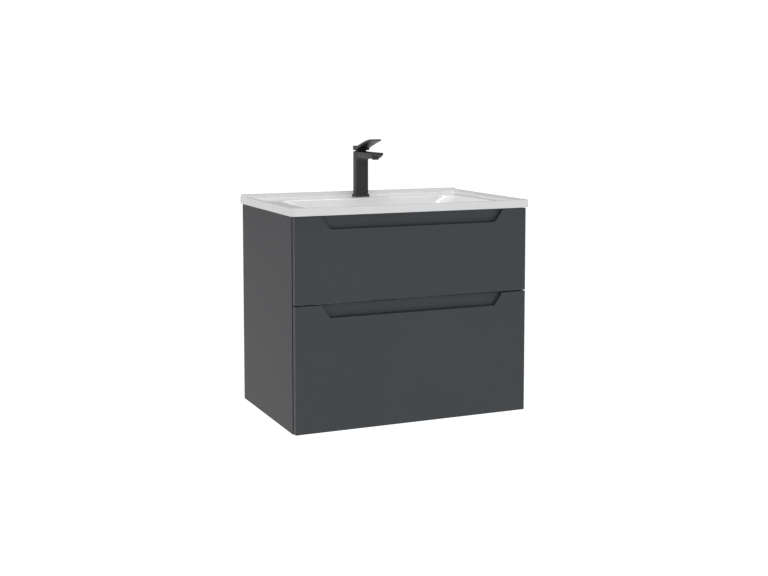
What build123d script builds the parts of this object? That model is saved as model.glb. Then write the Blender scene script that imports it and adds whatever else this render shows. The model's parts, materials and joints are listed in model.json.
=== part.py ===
"""Wall-hung bathroom vanity: a two-drawer cabinet, an inset ceramic basin, a mixer tap and a trap.

Millimetres. X runs to the right, Y towards the wall and Z up. The origin lies on the wall plane,
at the centre of the four screw holes of the two wall plates.
"""
import math
import os

from build123d import *

os.makedirs("parts", exist_ok=True)

# ---- driving dimensions ---------------------------------------------------------------------
CABINET_WIDTH = 700.0
CARCASS_DEPTH = 439.0
CARCASS_TOP = 47.0
CARCASS_BOTTOM = -544.0
BOARD = 16.0
HALF = CABINET_WIDTH / 2
INNER = HALF - BOARD

CLOSE_FIT = 0.05
LOOSE_FIT = 0.1

FRONT_THICK = 18.0
FRONT_GAP = 8.0
FRONT_REVEAL = 3.0
FRONT_BACK = -(CARCASS_DEPTH + FRONT_GAP)
FRONT_FACE = FRONT_BACK - FRONT_THICK
LOWER_FRONT = (CARCASS_BOTTOM + 3.5, 347.5)
UPPER_FRONT = (LOWER_FRONT[0] + LOWER_FRONT[1] + FRONT_REVEAL, 236.0)

POCKET_BOTTOM_WIDTH = 500.0
POCKET_DROP = 36.5
POCKET_SLOPE = 0.715
POCKET_DEPTH = 10.0
POCKET_LIP = 4.0
POCKET_UNDERCUT = 5.0
POCKET_CORNER = 18.0
POCKET_OVERCUT = 20.0
FRONT_EDGE = 1.2
FRONT_BACK_EDGE = 0.6

RUNNER_LENGTH = 400.0
RUNNER_FRONT = -CARCASS_DEPTH + 2.0
RUNNER_BACK = RUNNER_FRONT + RUNNER_LENGTH
RUNNER_SPACE = 12.7
BOX_WALL = 12.0
SIDE_ROUND = 1.0
BOX_HALF = INNER - RUNNER_SPACE
BOX_INNER = BOX_HALF - BOX_WALL
BOX_BACK = RUNNER_BACK - 6.0
BASE_THICK = 8.0
BASE_LIFT = 6.0
GROOVE = 5.0
TOP_BOX = (-164.5, 80.0)
BOTTOM_BOX = (-516.5, 180.0)
TOP_RUNNER_Z = TOP_BOX[0] + 40.0
BOTTOM_RUNNER_Z = BOTTOM_BOX[0] + 60.0
CUTOUT_HALF = 80.0
CUTOUT_FRONT = -330.0

BASIN_WIDTH = 720.0
BASIN_DEPTH = 470.0
BASIN_UNDERSIDE = 48.0
BASIN_DECK = 62.5
BASIN_RIM = 69.5
BASIN_UPSTAND = 74.0
RIM_WIDTH = 12.0
PLAN_CORNER = 13.0
CERAMIC = 9.0
BOWL_FLOOR = -50.5
DRAIN_Y = -262.0
DRAIN_RADIUS = 23.0
DRAIN_BOSS_END = -78.0
# Bowl rings from the deck to the floor: height, half width, front Y, back Y, corner radius.
BOWL_RINGS = (
    (BASIN_DECK, 288.0, -428.0, -132.0, 38.0),
    (40.0, 246.0, -421.0, -137.0, 42.0),
    (0.0, 212.0, -411.0, -149.0, 46.0),
    (BOWL_FLOOR, 190.0, -398.0, -165.0, 50.0),
)

TAP_Y = -75.0
TAP_SIZE = (40.0, 30.0)
TAP_FOOT = 63.3
TAP_TOP = 199.0
TAP_HOLE_RADIUS = 17.5
SPOUT_TIP = -206.0
SPOUT_HALF = 19.0
SPOUT_THICK = 18.5
AERATOR_Y = -189.0
TILT_AXIS = (-67.0, 206.0)
TURN_GAP = 0.4

OUTLET_Z = -225.0
PIPE_RADIUS = 16.0
PIPE_BORE = 14.2

WALL_SCREW_X = 300.0
WALL_SCREW_Z = 16.0
WALL_SCREW_RADIUS = 3.0

# ---- joints and fasteners of the carcass: places on the boards --------------------------------
RAIL_Y = -28.0
FRONT_RAIL_Y = -CARCASS_DEPTH + BOARD / 2
FRONT_RAIL_Z = (-62.5, -2.5)
HANGING_RAIL_Z = (-60.0, CARCASS_TOP)
LOWER_RAIL_Z = (CARCASS_BOTTOM + BOARD, -428.0)
BASE_Z = CARCASS_BOTTOM + BOARD / 2

# Each board has its own (Y, Z) places, and the direction that its cam locks are sunk from.
BASE_CAMS = ((-380.0, BASE_Z), (-60.0, BASE_Z))
BASE_DOWELS = ((-412.0, BASE_Z), (-220.0, BASE_Z), (-92.0, BASE_Z))
FRONT_RAIL_CAMS = ((FRONT_RAIL_Y, -32.5),)
FRONT_RAIL_DOWELS = ((FRONT_RAIL_Y, -52.5), (FRONT_RAIL_Y, -12.5))
HANGING_RAIL_CAMS = ((RAIL_Y, -20.0),)
HANGING_RAIL_DOWELS = ((RAIL_Y, -46.0), (RAIL_Y, 6.0))
LOWER_RAIL_CAMS = ((RAIL_Y, -478.0),)
LOWER_RAIL_DOWELS = ((RAIL_Y, -508.0), (RAIL_Y, -448.0))
UP = (0, 0, 1)
DOWN = (0, 0, -1)
TO_FRONT = (0, -1, 0)
TO_WALL = (0, 1, 0)
CAM_SETS = (
    (BASE_CAMS, UP),
    (FRONT_RAIL_CAMS, TO_WALL),
    (HANGING_RAIL_CAMS, TO_FRONT),
    (LOWER_RAIL_CAMS, TO_FRONT),
)
ALL_CAMS = BASE_CAMS + FRONT_RAIL_CAMS + HANGING_RAIL_CAMS + LOWER_RAIL_CAMS
ALL_DOWELS = BASE_DOWELS + FRONT_RAIL_DOWELS + HANGING_RAIL_DOWELS + LOWER_RAIL_DOWELS

DOWEL_RADIUS = 4.0
DOWEL_IN_SIDE = 12.0
DOWEL_IN_END = 18.0
BORE_SPARE = 0.5
BOARD_EDGE = 0.8
CAM_RADIUS = 7.5
CAM_HEIGHT = 12.5
CAM_INSET = 24.0
BOLT_RADIUS = 3.5
BOLT_BORE = 4.0
BOLT_IN_SIDE = 11.0
BOLT_WAIST = 2.0
BOLT_HEAD = (3.0, 5.0)
BOLT_HEAD_AT = CAM_INSET - 4.0
BOLT_NECK = CAM_INSET - CAM_RADIUS - BORE_SPARE
CAM_SLOT = 3.6
CAM_SLOT_PAST = 3.0
CAM_SOCKET = (2.0, 2.5)

SCREW_RADIUS = 1.75
SCREW_IN_BOARD = 11.0
SCREW_HEAD = (3.5, 1.4)
TIP_SPARE = 1.0
RUNNER_SCREW_Y = (-412.0, -237.0, -64.0)
BOX_SCREW_RADIUS = 2.5
BOX_SCREW_HEAD = (4.0, 3.0)
BOX_SCREW_LENGTH = 42.0
BOX_SCREW_EDGE = 20.0
FRONT_SCREW_RADIUS = 2.0
FRONT_SCREW_IN = 14.0
FRONT_SCREW_HEAD = (4.0, 2.0)
FRONT_SCREW_LOW = 25.0
FRONT_SCREW_X = (-250.0, 0.0, 250.0)

RAIL_STEEL = 1.2
RAIL_BEND = 0.9
# Rail sections, measured from the side panel: near, far, half height.
OUTER_RAIL = (0.0, 9.5, 22.5)
MIDDLE_RAIL = (3.4, 11.0, 18.0)
INNER_RAIL = (5.4, RUNNER_SPACE, 13.6)
MIDDLE_SHORTER = 2.0
INNER_AHEAD = 1.0
INNER_SHORTER = 5.0

HANGER_Z = (-16.0, 44.0)
HANGER_Y = (-80.0, -36.0)
HANGER_THICK = 17.0
HANGER_SCREWS = ((-70.0, -6.0), (-48.0, 20.0))
HOOK_X = (-331.0, -320.0)
HOOK_Z = (34.0, 37.0)
HOOK_FIT = 0.2
HOOK_ROOT_Y = HANGER_Y[0] + 10.0
HOOK_PLAY = 2.0
HANGER_HEAD = (4.0, 3.0)
HANGER_ROUND = 2.0


# ---- helpers that add to, or cut from, the part being built --------------------------------------
def block(low, high, mode=Mode.ADD):
    """A box between two opposite corners."""
    with Locations(tuple(low)):
        Box(*(b - a for a, b in zip(low, high)), align=(Align.MIN,) * 3, mode=mode)


def rod(start, direction, radius, length, mode=Mode.ADD):
    """A cylinder that starts at a point and runs along a direction."""
    with Locations(Plane(origin=start, z_dir=direction)):
        Cylinder(radius, length, align=(Align.CENTER, Align.CENTER, Align.MIN), mode=mode)


def save(piece, label):
    """Name a finished piece and write it out."""
    piece.part.label = label
    export_step(piece.part, f"parts/{label}.step")


def moved(point, direction, distance):
    """A point shifted along a direction."""
    return tuple(p + d * distance for p, d in zip(point, direction))


# ---- carcass ----------------------------------------------------------------------------------
def side_panel(side):
    """One side of the cabinet, bored for its dowels, bolts, runners and hanger."""
    face = side * INNER
    outward = (side, 0, 0)
    with BuildPart() as panel:
        block((min(face, side * HALF), -CARCASS_DEPTH, CARCASS_BOTTOM),
              (max(face, side * HALF), 0, CARCASS_TOP))
        fillet(panel.faces().sort_by(Axis.Y)[0].edges().filter_by(Axis.Z), BOARD_EDGE)
        for y, z in ALL_DOWELS:
            rod((face, y, z), outward, DOWEL_RADIUS, DOWEL_IN_SIDE + BORE_SPARE, Mode.SUBTRACT)
        for y, z in ALL_CAMS:
            rod((face, y, z), outward, BOLT_RADIUS, BOLT_IN_SIDE, Mode.SUBTRACT)
        for z in (TOP_RUNNER_Z, BOTTOM_RUNNER_Z):
            for y in RUNNER_SCREW_Y:
                rod((face, y, z), outward, SCREW_RADIUS, SCREW_IN_BOARD, Mode.SUBTRACT)
        for y, z in HANGER_SCREWS:
            rod((face, y, z), outward, SCREW_RADIUS, SCREW_IN_BOARD, Mode.SUBTRACT)
    return panel


def bore_board_ends(dowels, cams, face):
    """Bore both ends of a cross board for its dowels, cam bolts and cam locks."""
    for side in (-1, 1):
        inward = (-side, 0, 0)
        for y, z in dowels:
            rod((side * INNER, y, z), inward, DOWEL_RADIUS, DOWEL_IN_END + BORE_SPARE, Mode.SUBTRACT)
        for y, z in cams:
            rod((side * INNER, y, z), inward, BOLT_BORE, CAM_INSET, Mode.SUBTRACT)
            mouth = moved((side * (INNER - CAM_INSET), y, z), face, BOARD / 2)
            rod(mouth, tuple(-d for d in face), CAM_RADIUS, CAM_HEIGHT, Mode.SUBTRACT)


save(side_panel(-1), "side_panel_left")
save(side_panel(1), "side_panel_right")

with BuildPart() as bottom_panel:
    block((-INNER, -CARCASS_DEPTH, CARCASS_BOTTOM), (INNER, 0, CARCASS_BOTTOM + BOARD))
    bore_board_ends(BASE_DOWELS, BASE_CAMS, UP)
save(bottom_panel, "bottom_panel")

with BuildPart() as front_rail:
    block((-INNER, -CARCASS_DEPTH, FRONT_RAIL_Z[0]), (INNER, -CARCASS_DEPTH + BOARD, FRONT_RAIL_Z[1]))
    bore_board_ends(FRONT_RAIL_DOWELS, FRONT_RAIL_CAMS, TO_WALL)
save(front_rail, "front_rail")

NOTCH_WIDTH = 22.0
NOTCH_Z = 23.0
with BuildPart() as hanging_rail:
    block((-INNER, RAIL_Y - BOARD / 2, HANGING_RAIL_Z[0]), (INNER, RAIL_Y + BOARD / 2, HANGING_RAIL_Z[1]))
    for side in (-1, 1):
        ends = sorted((side * INNER, side * (INNER - NOTCH_WIDTH)))
        block((ends[0], RAIL_Y - BOARD / 2, NOTCH_Z), (ends[1], RAIL_Y + BOARD / 2, CARCASS_TOP),
              Mode.SUBTRACT)
    bore_board_ends(HANGING_RAIL_DOWELS, HANGING_RAIL_CAMS, TO_FRONT)
save(hanging_rail, "hanging_rail")

with BuildPart() as lower_back_rail:
    block((-INNER, RAIL_Y - BOARD / 2, LOWER_RAIL_Z[0]), (INNER, RAIL_Y + BOARD / 2, LOWER_RAIL_Z[1]))
    bore_board_ends(LOWER_RAIL_DOWELS, LOWER_RAIL_CAMS, TO_FRONT)
save(lower_back_rail, "lower_back_rail")

with BuildPart() as carcass_dowels:
    for side in (-1, 1):
        for y, z in ALL_DOWELS:
            start = (side * (INNER + DOWEL_IN_SIDE), y, z)
            rod(start, (-side, 0, 0), DOWEL_RADIUS, DOWEL_IN_SIDE + DOWEL_IN_END)
    chamfer(carcass_dowels.edges().filter_by(GeomType.CIRCLE), BOARD_EDGE)
save(carcass_dowels, "carcass_dowels")

with BuildPart() as cam_bolts:
    for side in (-1, 1):
        for y, z in ALL_CAMS:
            inward = (-side, 0, 0)
            rod((side * (INNER + BOLT_IN_SIDE), y, z), inward, BOLT_RADIUS, BOLT_IN_SIDE + BOLT_NECK)
            rod((side * (INNER - BOLT_NECK), y, z), inward, BOLT_WAIST, BOLT_HEAD_AT - BOLT_NECK)
            rod((side * (INNER - BOLT_HEAD_AT), y, z), inward, *BOLT_HEAD)
save(cam_bolts, "cam_bolts")

with BuildPart() as cam_locks:
    for side in (-1, 1):
        for cams, face in CAM_SETS:
            for y, z in cams:
                centre = (side * (INNER - CAM_INSET), y, z)
                inward = tuple(-d for d in face)
                mouth = moved(centre, face, BOARD / 2)
                rod(mouth, inward, CAM_RADIUS - CLOSE_FIT, CAM_HEIGHT)
                rod(moved(centre, (side, 0, 0), CAM_RADIUS), (-side, 0, 0), CAM_SLOT,
                    CAM_RADIUS + CAM_SLOT_PAST, Mode.SUBTRACT)
                rod(mouth, inward, *CAM_SOCKET, Mode.SUBTRACT)
save(cam_locks, "cam_locks")

# ---- hangers ------------------------------------------------------------------------------------
with BuildPart() as hanger_housings:
    block((-INNER, HANGER_Y[0], HANGER_Z[0]), (-INNER + HANGER_THICK, HANGER_Y[1], HANGER_Z[1]))
    fillet(hanger_housings.faces().sort_by(Axis.X)[-1].edges(), HANGER_ROUND)
    block((HOOK_X[0] - HOOK_FIT, HOOK_ROOT_Y - HOOK_PLAY, HOOK_Z[0] - HOOK_FIT),
          (HOOK_X[1] + HOOK_FIT, HANGER_Y[1], HOOK_Z[1] + HOOK_FIT), Mode.SUBTRACT)
    for y, z in HANGER_SCREWS:
        rod((-INNER, y, z), (1, 0, 0), SCREW_RADIUS, HANGER_THICK, Mode.SUBTRACT)
        rod((-INNER + HANGER_THICK, y, z), (-1, 0, 0), *HANGER_HEAD, Mode.SUBTRACT)
    mirror(about=Plane.YZ)
save(hanger_housings, "hanger_housings")

HOOK_TIP_Y = (-7.5, -4.5)
HOOK_TIP_Z = 27.0
HOOK_BEND = 2.0
with BuildPart() as hanger_hooks:
    block((HOOK_X[0], HOOK_ROOT_Y, HOOK_Z[0]), (HOOK_X[1], HOOK_TIP_Y[1], HOOK_Z[1]))
    block((HOOK_X[0], HOOK_TIP_Y[0], HOOK_TIP_Z), (HOOK_X[1], HOOK_TIP_Y[1], HOOK_Z[0]))
    fillet(hanger_hooks.edges().filter_by(Axis.X).sort_by(Axis.Y)[-2:].sort_by(Axis.Z)[-1], HOOK_BEND)
    mirror(about=Plane.YZ)
save(hanger_hooks, "hanger_hooks")

PLATE_X = (-333.5, -283.0)
PLATE = 2.5
LIP_Y = (-10.5, -8.0)
PLATE_BOTTOM = -28.0
PLATE_TOP = 26.0
with BuildPart() as wall_plates:
    block((PLATE_X[0], -PLATE, PLATE_BOTTOM), (PLATE_X[1], 0, PLATE_TOP))
    block((PLATE_X[0], LIP_Y[0], PLATE_TOP - PLATE), (PLATE_X[1], -PLATE, PLATE_TOP))
    block((PLATE_X[0], LIP_Y[0], PLATE_TOP), (PLATE_X[1], LIP_Y[1], HOOK_Z[0]))
    for z in (-WALL_SCREW_Z, WALL_SCREW_Z):
        rod((-WALL_SCREW_X, 0, z), TO_FRONT, WALL_SCREW_RADIUS, PLATE, Mode.SUBTRACT)
    mirror(about=Plane.YZ)
save(wall_plates, "wall_plates")


# ---- runners ------------------------------------------------------------------------------------
def rail_pair(section, web_far, z, y_front, y_back, screws):
    """A left and right steel channel of a runner, with screw holes in the web."""
    near, far, half_height = section
    web = far if web_far else near
    inside = (near, far - RAIL_STEEL) if web_far else (near + RAIL_STEEL, far)
    with BuildPart() as rails:
        with BuildSketch(Plane.XZ.offset(-y_back)) as profile:
            with Locations((-INNER + near, z)):
                Rectangle(far - near, 2 * half_height, align=(Align.MIN, Align.CENTER))
            fillet(profile.vertices(), RAIL_BEND)
            with Locations((-INNER + inside[0], z)):
                Rectangle(inside[1] - inside[0], 2 * (half_height - RAIL_STEEL),
                          align=(Align.MIN, Align.CENTER), mode=Mode.SUBTRACT)
        extrude(amount=y_back - y_front)
        for y in screws:
            side = -1 if web_far else 1
            rod((-INNER + web, y, z), (side, 0, 0), SCREW_RADIUS, RAIL_STEEL, Mode.SUBTRACT)
        mirror(about=Plane.YZ)
    return rails


def screw_pairs(z, head_u, direction):
    """Short wood screws through a runner's web, left and right."""
    with BuildPart() as screws:
        for y in RUNNER_SCREW_Y:
            seat = (-INNER + head_u, y, z)
            rod(seat, (direction, 0, 0), SCREW_RADIUS, RAIL_STEEL + SCREW_IN_BOARD - TIP_SPARE)
            rod(seat, (-direction, 0, 0), *SCREW_HEAD)
        mirror(about=Plane.YZ)
    return screws


for level, runner_z in (("top", TOP_RUNNER_Z), ("bottom", BOTTOM_RUNNER_Z)):
    save(rail_pair(OUTER_RAIL, False, runner_z, RUNNER_FRONT, RUNNER_BACK, RUNNER_SCREW_Y),
         f"{level}_runner_outer")
    save(rail_pair(MIDDLE_RAIL, False, runner_z, RUNNER_FRONT + MIDDLE_SHORTER,
                   RUNNER_BACK - MIDDLE_SHORTER, ()),
         f"{level}_runner_middle")
    save(rail_pair(INNER_RAIL, True, runner_z, RUNNER_FRONT - INNER_AHEAD,
                   RUNNER_BACK - INNER_SHORTER, RUNNER_SCREW_Y),
         f"{level}_runner_inner")

HANGER_SCREW_SEAT = HANGER_THICK - HANGER_HEAD[1]
with BuildPart() as hanger_screws:
    for y, z in HANGER_SCREWS:
        seat = (-INNER + HANGER_SCREW_SEAT, y, z)
        rod(seat, (-1, 0, 0), SCREW_RADIUS, HANGER_SCREW_SEAT + SCREW_IN_BOARD)
        rod(seat, (1, 0, 0), *SCREW_HEAD)
    mirror(about=Plane.YZ)

with BuildPart() as carcass_screws:
    add(hanger_screws.part)
    for runner_z in (TOP_RUNNER_Z, BOTTOM_RUNNER_Z):
        add(screw_pairs(runner_z, RAIL_STEEL, -1).part)
save(carcass_screws, "carcass_screws")


# ---- drawers ------------------------------------------------------------------------------------
def pocket_outline(z_top, grow):
    """Half-plane points of the pocket's trapezoid, grown outwards by a distance."""
    low = z_top - POCKET_DROP - grow
    high = z_top + POCKET_OVERCUT
    half = POCKET_BOTTOM_WIDTH / 2 + grow * (math.hypot(1, POCKET_SLOPE) - POCKET_SLOPE)
    top_half = half + (high - low) * POCKET_SLOPE
    return (-top_half, high), (-half, low), (half, low), (top_half, high)


def drawer_front(place):
    """A decorative front with a milled finger pocket that is undercut behind its lip."""
    low, height = place
    top = low + height
    with BuildPart() as front:
        block((-HALF, FRONT_FACE, low), (HALF, FRONT_BACK, top))
        fillet(front.faces().sort_by(Axis.Y)[0].edges(), FRONT_EDGE)
        fillet(front.faces().sort_by(Axis.Y)[-1].edges(), FRONT_BACK_EDGE)
        for grow, start, end in ((0.0, 0.0, POCKET_LIP), (POCKET_UNDERCUT, POCKET_LIP, POCKET_DEPTH)):
            with BuildSketch(Plane.XZ.offset(-(FRONT_FACE + end))) as outline:
                Polygon(*pocket_outline(top, grow), align=None)
                fillet(outline.vertices().sort_by(Axis.Z)[:2], POCKET_CORNER + grow)
            extrude(amount=end - start, mode=Mode.SUBTRACT)
    return front


def front_screw_places(box):
    """Places of the screws that hold a decorative front on its box."""
    return [(x, z) for x in FRONT_SCREW_X
            for z in (box[0] + FRONT_SCREW_LOW, box[0] + box[1] - BOX_SCREW_EDGE)]


def box_screw_places(box):
    """Heights of the screws through a drawer side into the box front and back."""
    return box[0] + BOX_SCREW_EDGE, box[0] + box[1] - BOX_SCREW_EDGE


def bored_front(place, box):
    """The front with the blind holes for its screws."""
    with BuildPart() as front:
        add(drawer_front(place).part)
        for x, z in front_screw_places(box):
            rod((x, FRONT_BACK, z), TO_FRONT, FRONT_SCREW_RADIUS, FRONT_SCREW_IN, Mode.SUBTRACT)
    return front


def box_front(box):
    """The inner front of a drawer box, grooved for the base."""
    low, height = box
    with BuildPart() as panel:
        block((-BOX_INNER, FRONT_BACK, low), (BOX_INNER, FRONT_BACK + BOX_WALL, low + height))
        block((-BOX_INNER, FRONT_BACK + BOX_WALL - GROOVE, low + BASE_LIFT),
              (BOX_INNER, FRONT_BACK + BOX_WALL, low + BASE_LIFT + BASE_THICK), Mode.SUBTRACT)
        for x, z in front_screw_places(box):
            rod((x, FRONT_BACK, z), TO_WALL, FRONT_SCREW_RADIUS, BOX_WALL, Mode.SUBTRACT)
        for side in (-1, 1):
            for z in box_screw_places(box):
                rod((side * BOX_INNER, FRONT_BACK + BOX_WALL / 2, z), (-side, 0, 0),
                    BOX_SCREW_RADIUS, BOX_SCREW_LENGTH - BOX_WALL + TIP_SPARE, Mode.SUBTRACT)
    return panel


def drawer_side(box, runner_z, side):
    """One side of a drawer box, grooved for the base and bored for its screws."""
    low, height = box
    near, far = sorted((side * BOX_INNER, side * BOX_HALF))
    groove = sorted((side * BOX_INNER, side * (BOX_INNER + GROOVE)))
    with BuildPart() as panel:
        block((near, FRONT_BACK, low), (far, BOX_BACK, low + height))
        fillet(panel.faces().sort_by(Axis.Z)[-1].edges().filter_by(Axis.Y), SIDE_ROUND)
        block((groove[0], FRONT_BACK + BOX_WALL - GROOVE, low + BASE_LIFT),
              (groove[1], BOX_BACK, low + BASE_LIFT + BASE_THICK), Mode.SUBTRACT)
        for y in (FRONT_BACK + BOX_WALL / 2, BOX_BACK - BOX_WALL / 2):
            for z in box_screw_places(box):
                rod((side * BOX_HALF, y, z), (-side, 0, 0), BOX_SCREW_RADIUS, BOX_WALL, Mode.SUBTRACT)
                rod((side * BOX_HALF, y, z), (-side, 0, 0), *BOX_SCREW_HEAD, Mode.SUBTRACT)
        for y in RUNNER_SCREW_Y:
            rod((side * BOX_HALF, y, runner_z), (-side, 0, 0), SCREW_RADIUS, SCREW_IN_BOARD,
                Mode.SUBTRACT)
    return panel


def drawer_screws(box, runner_z):
    """All screws of one drawer: box corners, decorative front and inner rails."""
    with BuildPart() as screws:
        for side in (-1, 1):
            for y in (FRONT_BACK + BOX_WALL / 2, BOX_BACK - BOX_WALL / 2):
                for z in box_screw_places(box):
                    rod((side * BOX_HALF, y, z), (-side, 0, 0), BOX_SCREW_RADIUS, BOX_SCREW_LENGTH)
                    rod((side * BOX_HALF, y, z), (-side, 0, 0), *BOX_SCREW_HEAD)
        for x, z in front_screw_places(box):
            seat = (x, FRONT_BACK + BOX_WALL, z)
            rod(seat, TO_FRONT, FRONT_SCREW_RADIUS, BOX_WALL + FRONT_SCREW_IN - TIP_SPARE)
            rod(seat, TO_WALL, *FRONT_SCREW_HEAD)
        add(screw_pairs(runner_z, RUNNER_SPACE - RAIL_STEEL, 1).part)
    return screws


BUMPER_RADIUS = 5.0
BUMPER_LENGTH = FRONT_GAP - 0.6
BUMPER_ROUND = 0.8
BUMPER_FROM_EDGE = (8.0, 12.0)


def bumpers(place):
    """Four soft pads on the back of a front, where it meets the side panels' edges."""
    low, height = place
    with BuildPart() as pads:
        for x in (-HALF + BUMPER_FROM_EDGE[0], HALF - BUMPER_FROM_EDGE[0]):
            for z in (low + BUMPER_FROM_EDGE[1], low + height - BUMPER_FROM_EDGE[1]):
                rod((x, FRONT_BACK, z), TO_WALL, BUMPER_RADIUS, BUMPER_LENGTH)
        fillet(pads.faces().filter_by(Axis.Y).group_by(Axis.Y)[-1].edges(), BUMPER_ROUND)
    return pads


def back_board(box, x_low, x_high, bored_sides):
    """A back board that stands on the base, between the sides of the box."""
    low, height = box
    with BuildPart() as panel:
        block((x_low, BOX_BACK - BOX_WALL, low + BASE_LIFT + BASE_THICK), (x_high, BOX_BACK, low + height))
        for side in bored_sides:
            for z in box_screw_places(box):
                rod((side * BOX_INNER, BOX_BACK - BOX_WALL / 2, z), (-side, 0, 0),
                    BOX_SCREW_RADIUS, BOX_SCREW_LENGTH - BOX_WALL + TIP_SPARE, Mode.SUBTRACT)
    return panel


for level, place, box, runner_z in (("top", UPPER_FRONT, TOP_BOX, TOP_RUNNER_Z),
                                    ("bottom", LOWER_FRONT, BOTTOM_BOX, BOTTOM_RUNNER_Z)):
    save(bored_front(place, box), f"{level}_drawer_front")
    save(box_front(box), f"{level}_drawer_box_front")
    save(drawer_side(box, runner_z, -1), f"{level}_drawer_side_left")
    save(drawer_side(box, runner_z, 1), f"{level}_drawer_side_right")
    save(drawer_screws(box, runner_z), f"{level}_drawer_screws")
    save(bumpers(place), f"{level}_drawer_bumpers")

BASE_HALF = BOX_INNER + GROOVE
BASE_FRONT = FRONT_BACK + BOX_WALL - GROOVE
with BuildPart() as top_drawer_base:
    block((-BASE_HALF, BASE_FRONT, TOP_BOX[0] + BASE_LIFT),
          (BASE_HALF, BOX_BACK, TOP_BOX[0] + BASE_LIFT + BASE_THICK))
    block((-CUTOUT_HALF, CUTOUT_FRONT, TOP_BOX[0] + BASE_LIFT),
          (CUTOUT_HALF, BOX_BACK, TOP_BOX[0] + BASE_LIFT + BASE_THICK), Mode.SUBTRACT)
save(top_drawer_base, "top_drawer_base")

with BuildPart() as bottom_drawer_base:
    block((-BASE_HALF, BASE_FRONT, BOTTOM_BOX[0] + BASE_LIFT),
          (BASE_HALF, BOX_BACK, BOTTOM_BOX[0] + BASE_LIFT + BASE_THICK))
save(bottom_drawer_base, "bottom_drawer_base")

with BuildPart() as top_drawer_backs:
    add(back_board(TOP_BOX, CUTOUT_HALF + BOX_WALL, BOX_INNER, (1,)).part)
    mirror(about=Plane.YZ)
save(top_drawer_backs, "top_drawer_backs")
save(back_board(BOTTOM_BOX, -BOX_INNER, BOX_INNER, (-1, 1)), "bottom_drawer_back")

CUTOUT_LOW = TOP_BOX[0] + BASE_LIFT + BASE_THICK
CUTOUT_HIGH = TOP_BOX[0] + TOP_BOX[1]
with BuildPart() as cutout_sides:
    block((CUTOUT_HALF, CUTOUT_FRONT - BOX_WALL, CUTOUT_LOW),
          (CUTOUT_HALF + BOX_WALL, BOX_BACK, CUTOUT_HIGH))
    mirror(about=Plane.YZ)
save(cutout_sides, "cutout_sides")

with BuildPart() as cutout_front:
    block((-CUTOUT_HALF, CUTOUT_FRONT - BOX_WALL, CUTOUT_LOW), (CUTOUT_HALF, CUTOUT_FRONT, CUTOUT_HIGH))
save(cutout_front, "cutout_front")

# ---- basin --------------------------------------------------------------------------------------
BASIN_MID_Y = -BASIN_DEPTH / 2
UPSTAND_DEPTH = 15.0
UPSTAND_HALF = 357.0
HOLLOW_HALF = 322.0
HOLLOW_Y = (-BASIN_DEPTH + 38.0, -28.0)
DECK_CORNER = PLAN_CORNER - 4.0
RIM_ROUND = 3.0
FOOT_ROUND = 2.0
DUCT_HALF = (21.0, 14.0)
DRAIN_BOSS_RADIUS = 38.0
DRAIN_SEAT = (34.0, 2.5)
TAP_HOLE_DEPTH = 20.0
OVERFLOW_Z = 24.0
OVERFLOW_RADIUS = 12.0
OVERFLOW_Y = (-162.0, -122.0)
DUCT_OUTSIDE = ((-135.0, 50.0), (-106.0, 50.0), (-106.0, -15.0), (-148.0, DRAIN_BOSS_END),
                (DRAIN_Y, DRAIN_BOSS_END), (DRAIN_Y, -56.0), (-170.0, -56.0))
DUCT_INSIDE = ((-127.0, 43.0), (-113.0, 43.0), (-113.0, -13.0), (-151.0, -71.0),
               (DRAIN_Y, -71.0), (DRAIN_Y, -61.0), (-155.5, -61.0))
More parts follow.
